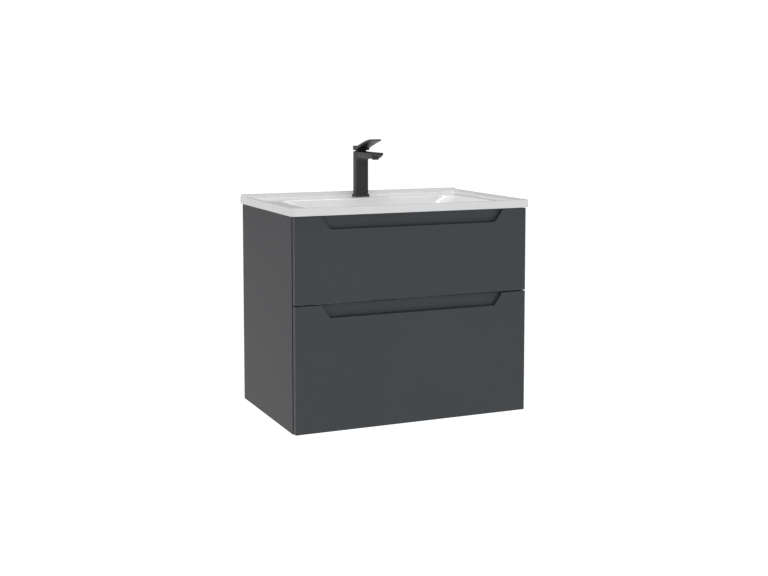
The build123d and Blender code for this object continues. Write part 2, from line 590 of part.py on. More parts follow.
with BuildPart() as basin:
    with BuildSketch(Plane.XY.offset(BASIN_UNDERSIDE)):
        with Locations((0, BASIN_MID_Y)):
            RectangleRounded(BASIN_WIDTH, BASIN_DEPTH, PLAN_CORNER)
    extrude(amount=BASIN_RIM - BASIN_UNDERSIDE)
    with BuildSketch(Plane.XY.offset(BASIN_DECK)):
        with Locations((0, BASIN_MID_Y)):
            RectangleRounded(BASIN_WIDTH - 2 * RIM_WIDTH, BASIN_DEPTH - 2 * RIM_WIDTH, DECK_CORNER)
    extrude(amount=BASIN_RIM - BASIN_DECK, mode=Mode.SUBTRACT)
    fillet(basin.edges().filter_by(lambda e: abs(e.center().Z - BASIN_RIM) < 0.01), RIM_ROUND)
    fillet(basin.edges().filter_by(lambda e: abs(e.center().Z - BASIN_UNDERSIDE) < 0.01), FOOT_ROUND)
    block((-UPSTAND_HALF, -UPSTAND_DEPTH, BASIN_DECK), (UPSTAND_HALF, 0, BASIN_UPSTAND))
    block((-HOLLOW_HALF, HOLLOW_Y[0], BASIN_UNDERSIDE),
          (HOLLOW_HALF, HOLLOW_Y[1], BASIN_DECK - CERAMIC), Mode.SUBTRACT)
    for z, half, front, back, corner in BOWL_RINGS:
        drop = CERAMIC if z == BOWL_FLOOR else 0.0
        with BuildSketch(Plane.XY.offset(min(z, BASIN_DECK - CERAMIC / 2) - drop)):
            with Locations((0, (front + back) / 2)):
                RectangleRounded(2 * (half + CERAMIC), back - front + 2 * CERAMIC, corner + CERAMIC)
    loft(ruled=True)
    with BuildSketch(Plane.YZ):
        Polygon(*DUCT_OUTSIDE, align=None)
    extrude(amount=DUCT_HALF[0], both=True)
    rod((0, DRAIN_Y, DRAIN_BOSS_END), UP, DRAIN_BOSS_RADIUS, BOWL_FLOOR - DRAIN_BOSS_END)
    for z, half, front, back, corner in BOWL_RINGS:
        with BuildSketch(Plane.XY.offset(z)):
            with Locations((0, (front + back) / 2)):
                RectangleRounded(2 * half, back - front, corner)
    loft(ruled=True, mode=Mode.SUBTRACT)
    with BuildSketch(Plane.YZ):
        Polygon(*DUCT_INSIDE, align=None)
    extrude(amount=DUCT_HALF[1], both=True, mode=Mode.SUBTRACT)
    rod((0, OVERFLOW_Y[0], OVERFLOW_Z), TO_WALL, OVERFLOW_RADIUS, OVERFLOW_Y[1] - OVERFLOW_Y[0],
        Mode.SUBTRACT)
    rod((0, DRAIN_Y, DRAIN_BOSS_END), UP, DRAIN_RADIUS, BOWL_FLOOR - DRAIN_BOSS_END, Mode.SUBTRACT)
    rod((0, DRAIN_Y, BOWL_FLOOR), DOWN, *DRAIN_SEAT, Mode.SUBTRACT)
    rod((0, TAP_Y, BASIN_DECK), DOWN, TAP_HOLE_RADIUS, TAP_HOLE_DEPTH, Mode.SUBTRACT)
save(basin, "basin")

SEALANT_Y = (-CARCASS_DEPTH + 1.0, -3.0)
with BuildPart() as basin_seal:
    block((-HALF, SEALANT_Y[0], CARCASS_TOP), (-INNER, SEALANT_Y[1], BASIN_UNDERSIDE))
    mirror(about=Plane.YZ)
save(basin_seal, "basin_seal")

# ---- waste and trap -----------------------------------------------------------------------------
TAIL_RADIUS = 20.9
TAIL_BORE = 17.0
TAIL_END = -140.0
FLANGE_Z = (-52.0, -49.5)
SEAL_UNDER = -81.0
FLANGE_RADIUS = 32.0
FLANGE_ROUND = 1.0
GUIDE_Z = (-82.0, -76.0)
GUIDE_RADIUS = 7.0
GUIDE_BORE = 4.06
BRIDGE_HALF = 2.5
SLOT_HALF = 7.0
SLOT_Z = (-71.0, -61.0)


def ring(start, direction, outer, inner, length):
    """A short tube added to the part being built."""
    rod(start, direction, outer, length)
    rod(start, direction, inner, length, Mode.SUBTRACT)


with BuildPart() as waste_body:
    rod((0, DRAIN_Y, FLANGE_Z[0]), UP, FLANGE_RADIUS, FLANGE_Z[1] - FLANGE_Z[0])
    fillet(waste_body.faces().sort_by(Axis.Z)[-1].edges(), FLANGE_ROUND)
    rod((0, DRAIN_Y, TAIL_END), UP, TAIL_RADIUS, FLANGE_Z[0] - TAIL_END)
    rod((0, DRAIN_Y, TAIL_END), UP, TAIL_BORE, FLANGE_Z[1] - TAIL_END, Mode.SUBTRACT)
    block((-TAIL_BORE - 1, DRAIN_Y - BRIDGE_HALF, GUIDE_Z[0]),
          (TAIL_BORE + 1, DRAIN_Y + BRIDGE_HALF, GUIDE_Z[1]))
    ring((0, DRAIN_Y, GUIDE_Z[0]), UP, GUIDE_RADIUS, GUIDE_BORE, GUIDE_Z[1] - GUIDE_Z[0])
    block((-SLOT_HALF, DRAIN_Y - FLANGE_RADIUS, SLOT_Z[0]), (SLOT_HALF, DRAIN_Y + FLANGE_RADIUS, SLOT_Z[1]),
          Mode.SUBTRACT)
save(waste_body, "waste_body")

SEAL_BORE = 21.3
UPPER_SEAL = (31.0, 1.0)
LOWER_SEAL_RADIUS = 34.0
TAIL_SEAL = (20.6, 4.0)
with BuildPart() as waste_seals:
    ring((0, DRAIN_Y, FLANGE_Z[0] - UPPER_SEAL[1]), UP, UPPER_SEAL[0], SEAL_BORE, UPPER_SEAL[1])
    ring((0, DRAIN_Y, SEAL_UNDER), UP, LOWER_SEAL_RADIUS, SEAL_BORE, DRAIN_BOSS_END - SEAL_UNDER)
    ring((0, DRAIN_Y, TAIL_END - TAIL_SEAL[1]), UP, TAIL_SEAL[0], PIPE_RADIUS + CLOSE_FIT, TAIL_SEAL[1])
save(waste_seals, "waste_seals")

WASTE_NUT = (33.0, 12.0)
with BuildPart() as waste_nut:
    with BuildSketch(Plane.XY.offset(SEAL_UNDER - WASTE_NUT[1])):
        with Locations((0, DRAIN_Y)):
            RegularPolygon(WASTE_NUT[0], 8)
            Circle(TAIL_RADIUS + CLOSE_FIT, mode=Mode.SUBTRACT)
    extrude(amount=WASTE_NUT[1])
save(waste_nut, "waste_nut")

PLUG_BASE = FLANGE_Z[1] + 0.35
PLUG_CAP = (31.0, 5.0)
PLUG_ROUND = 3.5
STEM_RADIUS = 4.0
STEM_Z = (-92.0, PLUG_BASE + 0.5)
with BuildPart() as waste_plug:
    rod((0, DRAIN_Y, PLUG_BASE), UP, *PLUG_CAP)
    fillet(waste_plug.faces().sort_by(Axis.Z)[-1].edges(), PLUG_ROUND)
    rod((0, DRAIN_Y, STEM_Z[0]), UP, STEM_RADIUS, STEM_Z[1] - STEM_Z[0])
save(waste_plug, "waste_plug")

TRAP_INLET_Z = (-262.0, -128.0)
with BuildPart() as trap_inlet_pipe:
    ring((0, DRAIN_Y, TRAP_INLET_Z[0]), UP, PIPE_RADIUS, PIPE_BORE, TRAP_INLET_Z[1] - TRAP_INLET_Z[0])
save(trap_inlet_pipe, "trap_inlet_pipe")

BOTTLE_RADIUS = 33.0
BOTTLE_WALL = 3.0
BOTTLE_Z = (-275.0, -205.0)
COLLAR_RADIUS = 21.0
COLLAR_LENGTH = 15.0
STUB_LENGTH = 28.0
STUB_END = DRAIN_Y + BOTTLE_RADIUS + STUB_LENGTH
BOTTLE_ROUND = 8.0
BOTTLE_ROOF = 5.0
PIPE_FIT = 0.2
with BuildPart() as trap_body:
    rod((0, DRAIN_Y, BOTTLE_Z[0]), UP, BOTTLE_RADIUS, BOTTLE_Z[1] - BOTTLE_Z[0])
    fillet(trap_body.faces().sort_by(Axis.Z)[-1].edges(), BOTTLE_ROUND)
    rod((0, DRAIN_Y, BOTTLE_Z[1] - BOTTLE_ROOF), UP, COLLAR_RADIUS, COLLAR_LENGTH + BOTTLE_ROOF)
    rod((0, DRAIN_Y, OUTLET_Z), TO_WALL, COLLAR_RADIUS, STUB_END - DRAIN_Y)
    rod((0, DRAIN_Y, BOTTLE_Z[0]), UP, BOTTLE_RADIUS - BOTTLE_WALL,
        BOTTLE_Z[1] - BOTTLE_Z[0] - BOTTLE_ROOF, Mode.SUBTRACT)
    rod((0, DRAIN_Y, BOTTLE_Z[0]), UP, PIPE_RADIUS + PIPE_FIT,
        BOTTLE_Z[1] + COLLAR_LENGTH - BOTTLE_Z[0], Mode.SUBTRACT)
    rod((0, DRAIN_Y, OUTLET_Z), TO_WALL, PIPE_RADIUS + PIPE_FIT, STUB_END - DRAIN_Y, Mode.SUBTRACT)
save(trap_body, "trap_body")

CUP_RADIUS = 36.0
CUP_Z = (-302.0, -264.0)
with BuildPart() as trap_cup:
    rod((0, DRAIN_Y, CUP_Z[0]), UP, CUP_RADIUS, CUP_Z[1] - CUP_Z[0])
    fillet(trap_cup.faces().sort_by(Axis.Z)[0].edges(), BOTTLE_ROUND)
    rod((0, DRAIN_Y, BOTTLE_Z[0]), UP, BOTTLE_RADIUS + LOOSE_FIT, CUP_Z[1] - BOTTLE_Z[0], Mode.SUBTRACT)
    rod((0, DRAIN_Y, CUP_Z[0] + BOTTLE_WALL), UP, BOTTLE_RADIUS - BOTTLE_WALL,
        BOTTLE_Z[0] - CUP_Z[0], Mode.SUBTRACT)
save(trap_cup, "trap_cup")

NUT_RADIUS = 26.0
NUT_CAP = 7.0
NUT_LENGTH = 20.0
NUT_STARTS = (TAIL_END + 9.0, BOTTLE_Z[1] + 3.0, STUB_END - 12.0)
# Each slip nut: its open end, the direction it faces away from, and its length.
SLIP_NUTS = (
    ((0, DRAIN_Y, NUT_STARTS[0]), DOWN, NUT_LENGTH + TAIL_SEAL[1]),
    ((0, DRAIN_Y, NUT_STARTS[1]), UP, NUT_LENGTH),
    ((0, NUT_STARTS[2], OUTLET_Z), TO_WALL, NUT_LENGTH),
)
with BuildPart() as trap_slip_nuts:
    for start, direction, length in SLIP_NUTS:
        with BuildSketch(Plane(origin=start, z_dir=direction)):
            RegularPolygon(NUT_RADIUS, 12)
        extrude(amount=length)
        rod(start, direction, COLLAR_RADIUS + CLOSE_FIT, length - NUT_CAP, Mode.SUBTRACT)
        rod(start, direction, PIPE_RADIUS + LOOSE_FIT, length, Mode.SUBTRACT)
save(trap_slip_nuts, "trap_slip_nuts")

PIPE_IN_STUB = 18.0
SOCKET_DEPTH = 40.0
STOP_BEAD = (PIPE_RADIUS + 2.0, 3.0)
with BuildPart() as trap_outlet_pipe:
    rod((0, -SOCKET_DEPTH - STOP_BEAD[1], OUTLET_Z), TO_WALL, *STOP_BEAD)
    ring((0, STUB_END - PIPE_IN_STUB, OUTLET_Z), TO_WALL, PIPE_RADIUS, PIPE_BORE, PIPE_IN_STUB - STUB_END)
save(trap_outlet_pipe, "trap_outlet_pipe")

# ---- tap ----------------------------------------------------------------------------------------
FLANGE = (47.5, 37.0, 5.7)
CARTRIDGE_Z = (155.0, 193.0)
CARTRIDGE_RADIUS = 12.0
NUT_SEAT = 12.6
INLET = (8.0, TAP_Y - 6.0)
INLET_RADIUS = 4.5
INLET_DEPTH = 9.0
CHANNEL = (6.3, TAP_Y - 4.3)
CHANNEL_RADIUS = 2.0
BLOCK_LOW = (-15.0, TAP_Y - 12.5, TAP_FOOT)
BLOCK_HIGH = (15.0, TAP_Y + 2.5, TAP_FOOT + 18.0)
STUD_Y = TAP_Y + 8.0
STUD_RADIUS = 4.0
STUD_HOLE = 16.0
SPOUT_CHANNEL = (4.0, 189.5)
AERATOR_SEAT = (10.2, 190.0)
FLANGE_CORNER = 7.0
COLUMN_CORNER = 5.0
TAP_FLANGE_ROUND = 2.0
NOSE = 36.0
SPOUT_LOW = TAP_TOP - SPOUT_THICK
SPOUT_ROOT = TAP_Y - 6.0
SPOUT_BLEND = 10.0
COLUMN_FRONT = TAP_Y - TAP_SIZE[1] / 2
with BuildPart() as tap_body:
    with BuildSketch(Plane.XY.offset(TAP_FOOT)):
        with Locations((0, TAP_Y)):
            RectangleRounded(FLANGE[0], FLANGE[1], FLANGE_CORNER)
    extrude(amount=FLANGE[2])
    fillet(tap_body.faces().sort_by(Axis.Z)[-1].edges(), TAP_FLANGE_ROUND)
    with BuildSketch(Plane.XY.offset(TAP_FOOT + FLANGE[2])):
        with Locations((0, TAP_Y)):
            RectangleRounded(*TAP_SIZE, COLUMN_CORNER)
    extrude(amount=TAP_TOP - TAP_FOOT - FLANGE[2])
    with BuildSketch(Plane.YZ):
        with BuildLine():
            Line((SPOUT_ROOT, TAP_TOP), (SPOUT_TIP, TAP_TOP))
            EllipticalCenterArc((SPOUT_TIP + NOSE, TAP_TOP), NOSE, SPOUT_THICK, start_angle=180, arc_size=90)
            Line((SPOUT_TIP + NOSE, SPOUT_LOW), (COLUMN_FRONT - SPOUT_BLEND, SPOUT_LOW))
            RadiusArc((COLUMN_FRONT - SPOUT_BLEND, SPOUT_LOW), (COLUMN_FRONT, SPOUT_LOW - SPOUT_BLEND),
                      SPOUT_BLEND)
            Line((COLUMN_FRONT, SPOUT_LOW - SPOUT_BLEND), (SPOUT_ROOT, SPOUT_LOW - SPOUT_BLEND))
            Line((SPOUT_ROOT, SPOUT_LOW - SPOUT_BLEND), (SPOUT_ROOT, TAP_TOP))
        make_face()
    extrude(amount=SPOUT_HALF, both=True)
    rod((0, TAP_Y, CARTRIDGE_Z[0]), UP, CARTRIDGE_RADIUS + CLOSE_FIT, TAP_TOP - CARTRIDGE_Z[0], Mode.SUBTRACT)
    rod((0, TAP_Y, CARTRIDGE_Z[1]), UP, NUT_SEAT, TAP_TOP - CARTRIDGE_Z[1], Mode.SUBTRACT)
    rod((0, TAP_Y, SPOUT_CHANNEL[1]), TO_FRONT, SPOUT_CHANNEL[0], TAP_Y - AERATOR_Y, Mode.SUBTRACT)
    rod((0, AERATOR_Y, AERATOR_SEAT[1]), DOWN, AERATOR_SEAT[0], SPOUT_THICK, Mode.SUBTRACT)
    block(BLOCK_LOW, BLOCK_HIGH, Mode.SUBTRACT)
    for side in (-1, 1):
        rod((side * CHANNEL[0], CHANNEL[1], BLOCK_HIGH[2]), UP, CHANNEL_RADIUS,
            CARTRIDGE_Z[0] - BLOCK_HIGH[2], Mode.SUBTRACT)
    rod((0, STUD_Y, TAP_FOOT), UP, STUD_RADIUS, STUD_HOLE, Mode.SUBTRACT)
save(tap_body, "tap_body")

# The brass block in the tap's foot: a threaded socket and a water channel for each hose.
with BuildPart() as tap_hose_block:
    block(BLOCK_LOW, BLOCK_HIGH)
    for side in (-1, 1):
        rod((side * INLET[0], INLET[1], TAP_FOOT), UP, INLET_RADIUS, INLET_DEPTH, Mode.SUBTRACT)
        rod((side * CHANNEL[0], CHANNEL[1], TAP_FOOT + INLET_DEPTH), UP, CHANNEL_RADIUS,
            BLOCK_HIGH[2] - TAP_FOOT - INLET_DEPTH, Mode.SUBTRACT)
save(tap_hose_block, "tap_hose_block")

SEAL_INSET = 1.0
with BuildPart() as tap_base_seal:
    with BuildSketch(Plane.XY.offset(BASIN_DECK)):
        with Locations((0, TAP_Y)):
            RectangleRounded(FLANGE[0] - 2 * SEAL_INSET, FLANGE[1] - 2 * SEAL_INSET,
                             FLANGE_CORNER - SEAL_INSET)
            Circle(TAP_HOLE_RADIUS - SEAL_INSET, mode=Mode.SUBTRACT)
    extrude(amount=TAP_FOOT - BASIN_DECK)
save(tap_base_seal, "tap_base_seal")

DISC_Z = (189.3, 192.7)
DISC_SEAT = 10.2
with BuildPart() as tap_cartridge:
    rod((0, TAP_Y, CARTRIDGE_Z[0]), UP, CARTRIDGE_RADIUS, CARTRIDGE_Z[1] - CARTRIDGE_Z[0])
    rod((0, TAP_Y, DISC_Z[0] - TURN_GAP), UP, DISC_SEAT, CARTRIDGE_Z[1] - DISC_Z[0] + TURN_GAP, Mode.SUBTRACT)
save(tap_cartridge, "tap_cartridge")

NUT_BORE = 8.5
with BuildPart() as cartridge_nut:
    ring((0, TAP_Y, CARTRIDGE_Z[1]), UP, NUT_SEAT - CLOSE_FIT, NUT_BORE, TAP_TOP - CARTRIDGE_Z[1] - TURN_GAP)
save(cartridge_nut, "cartridge_nut")

NECK_SIZE = (31.0, 19.0)
NECK_Y = TAP_Y - 0.5
NECK_Z = (TAP_TOP + TURN_GAP, 203.0)
NECK_CORNER = 5.0
TONGUE_HALF = 8.0
TONGUE_Y = (TILT_AXIS[0] - 4.0, TILT_AXIS[0] + 2.5)
TONGUE_TOP = TILT_AXIS[1] + 3.0
PIN_RADIUS = 1.5
PIN_HALF = 18.0
with BuildPart() as lever_carrier:
    rod((0, TAP_Y, DISC_Z[0]), UP, DISC_SEAT - TURN_GAP, DISC_Z[1] - DISC_Z[0])
    rod((0, TAP_Y, DISC_Z[0]), UP, TONGUE_HALF, NECK_Z[1] - DISC_Z[0])
    with BuildSketch(Plane.XY.offset(NECK_Z[0])):
        with Locations((0, NECK_Y)):
            RectangleRounded(*NECK_SIZE, NECK_CORNER)
    extrude(amount=NECK_Z[1] - NECK_Z[0])
    block((-TONGUE_HALF, TONGUE_Y[0], NECK_Z[1]), (TONGUE_HALF, TONGUE_Y[1], TONGUE_TOP))
    rod((-TONGUE_HALF, *TILT_AXIS), (1, 0, 0), PIN_RADIUS + CLOSE_FIT, 2 * TONGUE_HALF, Mode.SUBTRACT)
save(lever_carrier, "lever_carrier")

CAP_BACK = TAP_Y + TAP_SIZE[1] / 2
CAP_FRONT = -96.0
CAP_Z = (202.5, 216.0)
LEVER_TIP = (-191.0, 239.5)
LEVER_HALF = 20.0
LEVER_THICK = 4.4
ROOT_TOP_Y = CAP_FRONT + 4.0
ROOT_LOW_Z = CAP_Z[1] - 6.0
TIP_LOW = (LEVER_TIP[0] - 1.2, LEVER_TIP[1] - LEVER_THICK)
LEVER_CORNER = 8.0
CAP_CORNER = 3.0
CAVITY = ((-16.3, CAP_FRONT + 8.0, CAP_Z[0]), (16.3, TILT_AXIS[0] + 4.0, TILT_AXIS[1] + 6.0))
with BuildPart() as tap_lever:
    with BuildSketch(Plane.YZ):
        Polygon((CAP_BACK, CAP_Z[0]), (CAP_BACK, CAP_Z[1]), (ROOT_TOP_Y, CAP_Z[1]), LEVER_TIP, TIP_LOW,
                (CAP_FRONT, ROOT_LOW_Z), (CAP_FRONT, CAP_Z[0]), align=None)
    extrude(amount=LEVER_HALF, both=True)
    fillet(tap_lever.faces().sort_by(Axis.Y)[0].edges().filter_by(Axis.X, reverse=True), LEVER_CORNER)
    fillet(tap_lever.faces().sort_by(Axis.Y)[-1].edges().filter_by(Axis.Z), CAP_CORNER)
    block(*CAVITY, Mode.SUBTRACT)
    rod((-PIN_HALF, *TILT_AXIS), (1, 0, 0), PIN_RADIUS, 2 * PIN_HALF, Mode.SUBTRACT)
save(tap_lever, "tap_lever")

with BuildPart() as lever_pin:
    rod((-PIN_HALF, *TILT_AXIS), (1, 0, 0), PIN_RADIUS, 2 * PIN_HALF)
save(lever_pin, "lever_pin")

AERATOR_Z = (178.6, 188.0)
AERATOR_RADIUS = 10.0
AERATOR_ROUND = 0.8
AERATOR_FACE = (8.2, 1.5)
with BuildPart() as aerator:
    rod((0, AERATOR_Y, AERATOR_Z[0]), UP, AERATOR_RADIUS, AERATOR_Z[1] - AERATOR_Z[0])
    fillet(aerator.faces().sort_by(Axis.Z)[0].edges(), AERATOR_ROUND)
    rod((0, AERATOR_Y, AERATOR_Z[0]), UP, *AERATOR_FACE, Mode.SUBTRACT)
save(aerator, "aerator")

STUD_Z = (20.0, TAP_FOOT + STUD_HOLE - 2.0)
with BuildPart() as tap_stud:
    rod((0, STUD_Y, STUD_Z[0]), UP, STUD_RADIUS - CLOSE_FIT, STUD_Z[1] - STUD_Z[0])
save(tap_stud, "tap_stud")

WASHER = (23.0, 4.0)
WASHER_Z = (BASIN_DECK - CERAMIC - WASHER[1], BASIN_DECK - CERAMIC)
HOSE_GAP = (28.0, 30.0, 4.0)
HOSE_GAP_BACK = TAP_Y + 1.0
with BuildPart() as tap_clamp_washer:
    rod((0, TAP_Y, WASHER_Z[0]), UP, *WASHER)
    with BuildSketch(Plane.XY.offset(WASHER_Z[0])):
        with Locations((0, HOSE_GAP_BACK - HOSE_GAP[1] / 2)):
            RectangleRounded(*HOSE_GAP)
    extrude(amount=WASHER[1], mode=Mode.SUBTRACT)
    rod((0, STUD_Y, WASHER_Z[0]), UP, STUD_RADIUS + LOOSE_FIT, WASHER[1], Mode.SUBTRACT)
save(tap_clamp_washer, "tap_clamp_washer")

TAP_NUT = (7.5, 9.0)
with BuildPart() as tap_nut:
    with BuildSketch(Plane.XY.offset(WASHER_Z[0] - TAP_NUT[1])):
        with Locations((0, STUD_Y)):
            RegularPolygon(TAP_NUT[0], 6)
            Circle(STUD_RADIUS, mode=Mode.SUBTRACT)
    extrude(amount=TAP_NUT[1])
save(tap_nut, "tap_nut")
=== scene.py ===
"""Looks of the wall-hung vanity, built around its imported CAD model. All lengths are metres."""
import json
import math

import bmesh
import bpy
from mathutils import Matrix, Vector


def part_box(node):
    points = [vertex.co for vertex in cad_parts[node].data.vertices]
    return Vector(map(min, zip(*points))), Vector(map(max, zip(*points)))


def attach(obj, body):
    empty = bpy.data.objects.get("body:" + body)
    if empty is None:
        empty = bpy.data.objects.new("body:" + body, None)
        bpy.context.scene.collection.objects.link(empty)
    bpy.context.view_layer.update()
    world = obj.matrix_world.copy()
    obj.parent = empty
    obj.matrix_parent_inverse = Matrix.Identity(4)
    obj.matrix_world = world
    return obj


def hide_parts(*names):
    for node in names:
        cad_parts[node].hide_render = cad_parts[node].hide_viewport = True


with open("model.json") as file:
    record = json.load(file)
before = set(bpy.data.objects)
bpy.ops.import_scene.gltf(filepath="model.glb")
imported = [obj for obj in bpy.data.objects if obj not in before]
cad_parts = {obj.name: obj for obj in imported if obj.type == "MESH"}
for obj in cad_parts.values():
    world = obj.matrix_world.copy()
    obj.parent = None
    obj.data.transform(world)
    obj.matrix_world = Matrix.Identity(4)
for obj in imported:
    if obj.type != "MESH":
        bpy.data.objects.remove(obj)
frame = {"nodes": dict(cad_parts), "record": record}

MM = 0.001
SCENE = bpy.context.scene
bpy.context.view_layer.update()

# ---- places taken from the frame ------------------------------------------------------------
BASIN_LOW, BASIN_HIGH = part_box("basin")
TAP_LOW, TAP_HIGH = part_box("tap_body")
LEVER_LOW, LEVER_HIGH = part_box("tap_lever")
FLANGE_LOW, FLANGE_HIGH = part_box("waste_body")
DRAIN_Y = (FLANGE_LOW.y + FLANGE_HIGH.y) / 2
TAP_Y = sum(corner.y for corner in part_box("tap_base_seal")) / 2
AERATOR_Y = sum(corner.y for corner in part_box("aerator")) / 2
STUD_Y = sum(corner.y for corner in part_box("tap_stud")) / 2
BLOCK_LOW, BLOCK_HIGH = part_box("tap_hose_block")


# ---- materials: a small kit for node trees ----------------------------------------------------
NOISE_ROUGHNESS = 0.55


class Shade:
    """One procedural material around a Principled shader, in the piece's own coordinates."""

    def __init__(self, name, roughness, metallic=0.0, **constants):
        self.material = bpy.data.materials.new(name)
        self.material.use_nodes = True
        self.tree = self.material.node_tree
        self.surface = self.tree.nodes["Principled BSDF"]
        self.surface.inputs["Roughness"].default_value = roughness
        self.surface.inputs["Metallic"].default_value = metallic
        for socket, value in constants.items():
            self.surface.inputs[socket.replace("_", " ")].default_value = value
        self.place = self.tree.nodes.new("ShaderNodeTexCoord").outputs["Object"]
        self.height = None

    def node(self, kind, **inputs):
        made = self.tree.nodes.new("ShaderNode" + kind)
        for name, value in inputs.items():
            socket = made.inputs[name.replace("_", " ")]
            if isinstance(value, bpy.types.NodeSocket):
                self.tree.links.new(value, socket)
            else:
                socket.default_value = value
        return made

    def stretched(self, scale):
        """The piece's coordinates, scaled apart along each axis."""
        return self.node("Mapping", Vector=self.place, Scale=scale).outputs["Vector"]

    def noise(self, scale, detail=3.0, vector=None):
        made = self.node("TexNoise", Vector=vector or self.place, Scale=scale, Detail=detail,
                         Roughness=NOISE_ROUGHNESS)
        return made.outputs["Fac"]

    def spread(self, value, low, high, start=0.35, stop=0.65):
        """A 0..1 pattern mapped to the range from low to high."""
        made = self.node("MapRange", Value=value)
        for name, number in (("From Min", start), ("From Max", stop), ("To Min", low), ("To Max", high)):
            made.inputs[name].default_value = number
        return made.outputs["Result"]

    def blend(self, factor, first, second):
        """Two colours, or two colour sockets, mixed by a pattern."""
        made = self.tree.nodes.new("ShaderNodeMix")
        made.data_type = "RGBA"
        self.tree.links.new(factor, made.inputs["Factor"])
        for socket, colour in ((made.inputs[6], first), (made.inputs[7], second)):
            if isinstance(colour, bpy.types.NodeSocket):
                self.tree.links.new(colour, socket)
            else:
                socket.default_value = (*colour, 1.0)
        return made.outputs[2]

    def colour(self, socket):
        self.tree.links.new(socket, self.surface.inputs["Base Color"])

    def roughen(self, value):
        self.tree.links.new(value, self.surface.inputs["Roughness"])

    def bump(self, height, distance):
        """Adds a relief of that depth; a second call lies on top of the first."""
        made = self.node("Bump", Height=height, Distance=distance, Strength=1.0)
        if self.height is not None:
            self.tree.links.new(self.height, made.inputs["Normal"])
        self.height = made.outputs["Normal"]
        self.tree.links.new(self.height, self.surface.inputs["Normal"])


def tint(colour, factor):
    return tuple(min(1.0, c * factor) for c in colour)


def front_paint():
    """Matt lacquer: even, with a faint orange peel and slow drifts of tone."""
    base = (0.0505, 0.058, 0.064)
    made = Shade("front_paint", 0.5, Specular_IOR_Level=0.4)
    slow = made.noise(5.0, 2.0)
    speck = made.noise(900.0, 2.0)
    tone = made.blend(made.spread(slow, 0.0, 1.0), tint(base, 0.97), tint(base, 1.03))
    made.colour(made.blend(made.spread(speck, 0.0, 0.25), tone, tint(base, 1.12)))
    made.roughen(made.spread(made.noise(60.0), 0.50, 0.58))
    made.bump(made.noise(420.0, 2.0), 0.04 * MM)
    made.bump(speck, 0.012 * MM)
    return made.material


def carcass_board():
    """Matt laminate with a very fine upright grain."""
    base = (0.051, 0.0515, 0.058)
    made = Shade("carcass_board", 0.5, Specular_IOR_Level=0.4)
    grain = made.noise(1.0, 4.0, made.stretched((700.0, 700.0, 28.0)))
    tone = made.blend(made.spread(made.noise(4.0, 2.0), 0.0, 1.0), tint(base, 0.96), tint(base, 1.04))
    made.colour(made.blend(made.spread(grain, 0.0, 0.35), tone, tint(base, 1.25)))
    made.roughen(made.spread(grain, 0.48, 0.60))
    made.bump(grain, 0.03 * MM)
    return made.material


def drawer_board():
    """Grey laminate with a woven look: crossed fine threads of two tones."""
    made = Shade("drawer_board", 0.6, Specular_IOR_Level=0.35)
    threads = []
    for scale in ((90.0, 90.0, 1500.0), (1500.0, 90.0, 90.0), (90.0, 1500.0, 90.0)):
        threads.append(made.noise(1.0, 2.0, made.stretched(scale)))
    first = made.blend(made.spread(threads[0], 0.0, 1.0), (0.20, 0.20, 0.205), (0.33, 0.33, 0.335))
    second = made.blend(made.spread(threads[1], 0.0, 0.6), first, (0.26, 0.255, 0.25))
    made.colour(made.blend(made.spread(threads[2], 0.0, 0.5), second, (0.31, 0.31, 0.315)))
    made.bump(threads[0], 0.08 * MM)
    made.bump(threads[1], 0.08 * MM)
    return made.material


def beech():
    """Turned hardwood: long fibres with short dark flecks."""
    made = Shade("beech", 0.6, Specular_IOR_Level=0.3)
    fibre = made.noise(1.0, 5.0, made.stretched((60.0, 900.0, 900.0)))
    fleck = made.noise(1.0, 1.0, made.stretched((350.0, 2500.0, 2500.0)))
    wood = made.blend(made.spread(fibre, 0.0, 1.0), (0.50, 0.33, 0.19), (0.66, 0.48, 0.31))
    made.colour(made.blend(made.spread(fleck, 0.0, 0.7, 0.62, 0.75), wood, (0.30, 0.17, 0.09)))
    made.bump(fibre, 0.06 * MM)
    return made.material


def cast_zinc():
    """Die-cast zinc: dull, grainy skin."""
    made = Shade("cast_zinc", 0.5, metallic=0.9)
    grain = made.noise(1300.0, 4.0)
    made.colour(made.blend(made.spread(grain, 0.0, 1.0), (0.36, 0.36, 0.37), (0.58, 0.58, 0.59)))
    made.roughen(made.spread(grain, 0.40, 0.62))
    made.bump(grain, 0.06 * MM)
    return made.material


def zinc_steel():
    """Bright zinc plate with faint bluish and straw patches."""
    made = Shade("zinc_steel", 0.34, metallic=1.0)
    patch = made.noise(120.0, 3.0)
    plate = made.blend(made.spread(patch, 0.0, 1.0), (0.56, 0.59, 0.64), (0.70, 0.68, 0.61))
    made.colour(made.blend(made.spread(made.noise(1400.0), 0.0, 0.4), plate, (0.80, 0.80, 0.82)))
    made.roughen(made.spread(made.noise(500.0), 0.26, 0.42))
    made.bump(made.noise(2200.0, 2.0), 0.02 * MM)
    return made.material


def runner_steel():
    """Rolled strip: fine lines along the runner under thin zinc."""
    made = Shade("runner_steel", 0.36, metallic=1.0)
    lines = made.noise(1.0, 5.0, made.stretched((2600.0, 14.0, 2600.0)))
    made.colour(made.blend(made.spread(lines, 0.0, 1.0), (0.50, 0.51, 0.53), (0.72, 0.73, 0.74)))
    made.roughen(made.spread(lines, 0.28, 0.46))
    made.bump(lines, 0.02 * MM)
    return made.material


def white_plastic():
    """Moulded white plastic with a soft sheen and slight clouding."""
    made = Shade("white_plastic", 0.35, Specular_IOR_Level=0.5)
    cloud = made.noise(40.0, 3.0)
    made.colour(made.blend(made.spread(cloud, 0.0, 1.0), (0.70, 0.70, 0.68), (0.78, 0.78, 0.77)))
    made.roughen(made.spread(made.noise(220.0), 0.30, 0.42))
    made.bump(made.noise(900.0, 2.0), 0.03 * MM)
    return made.material


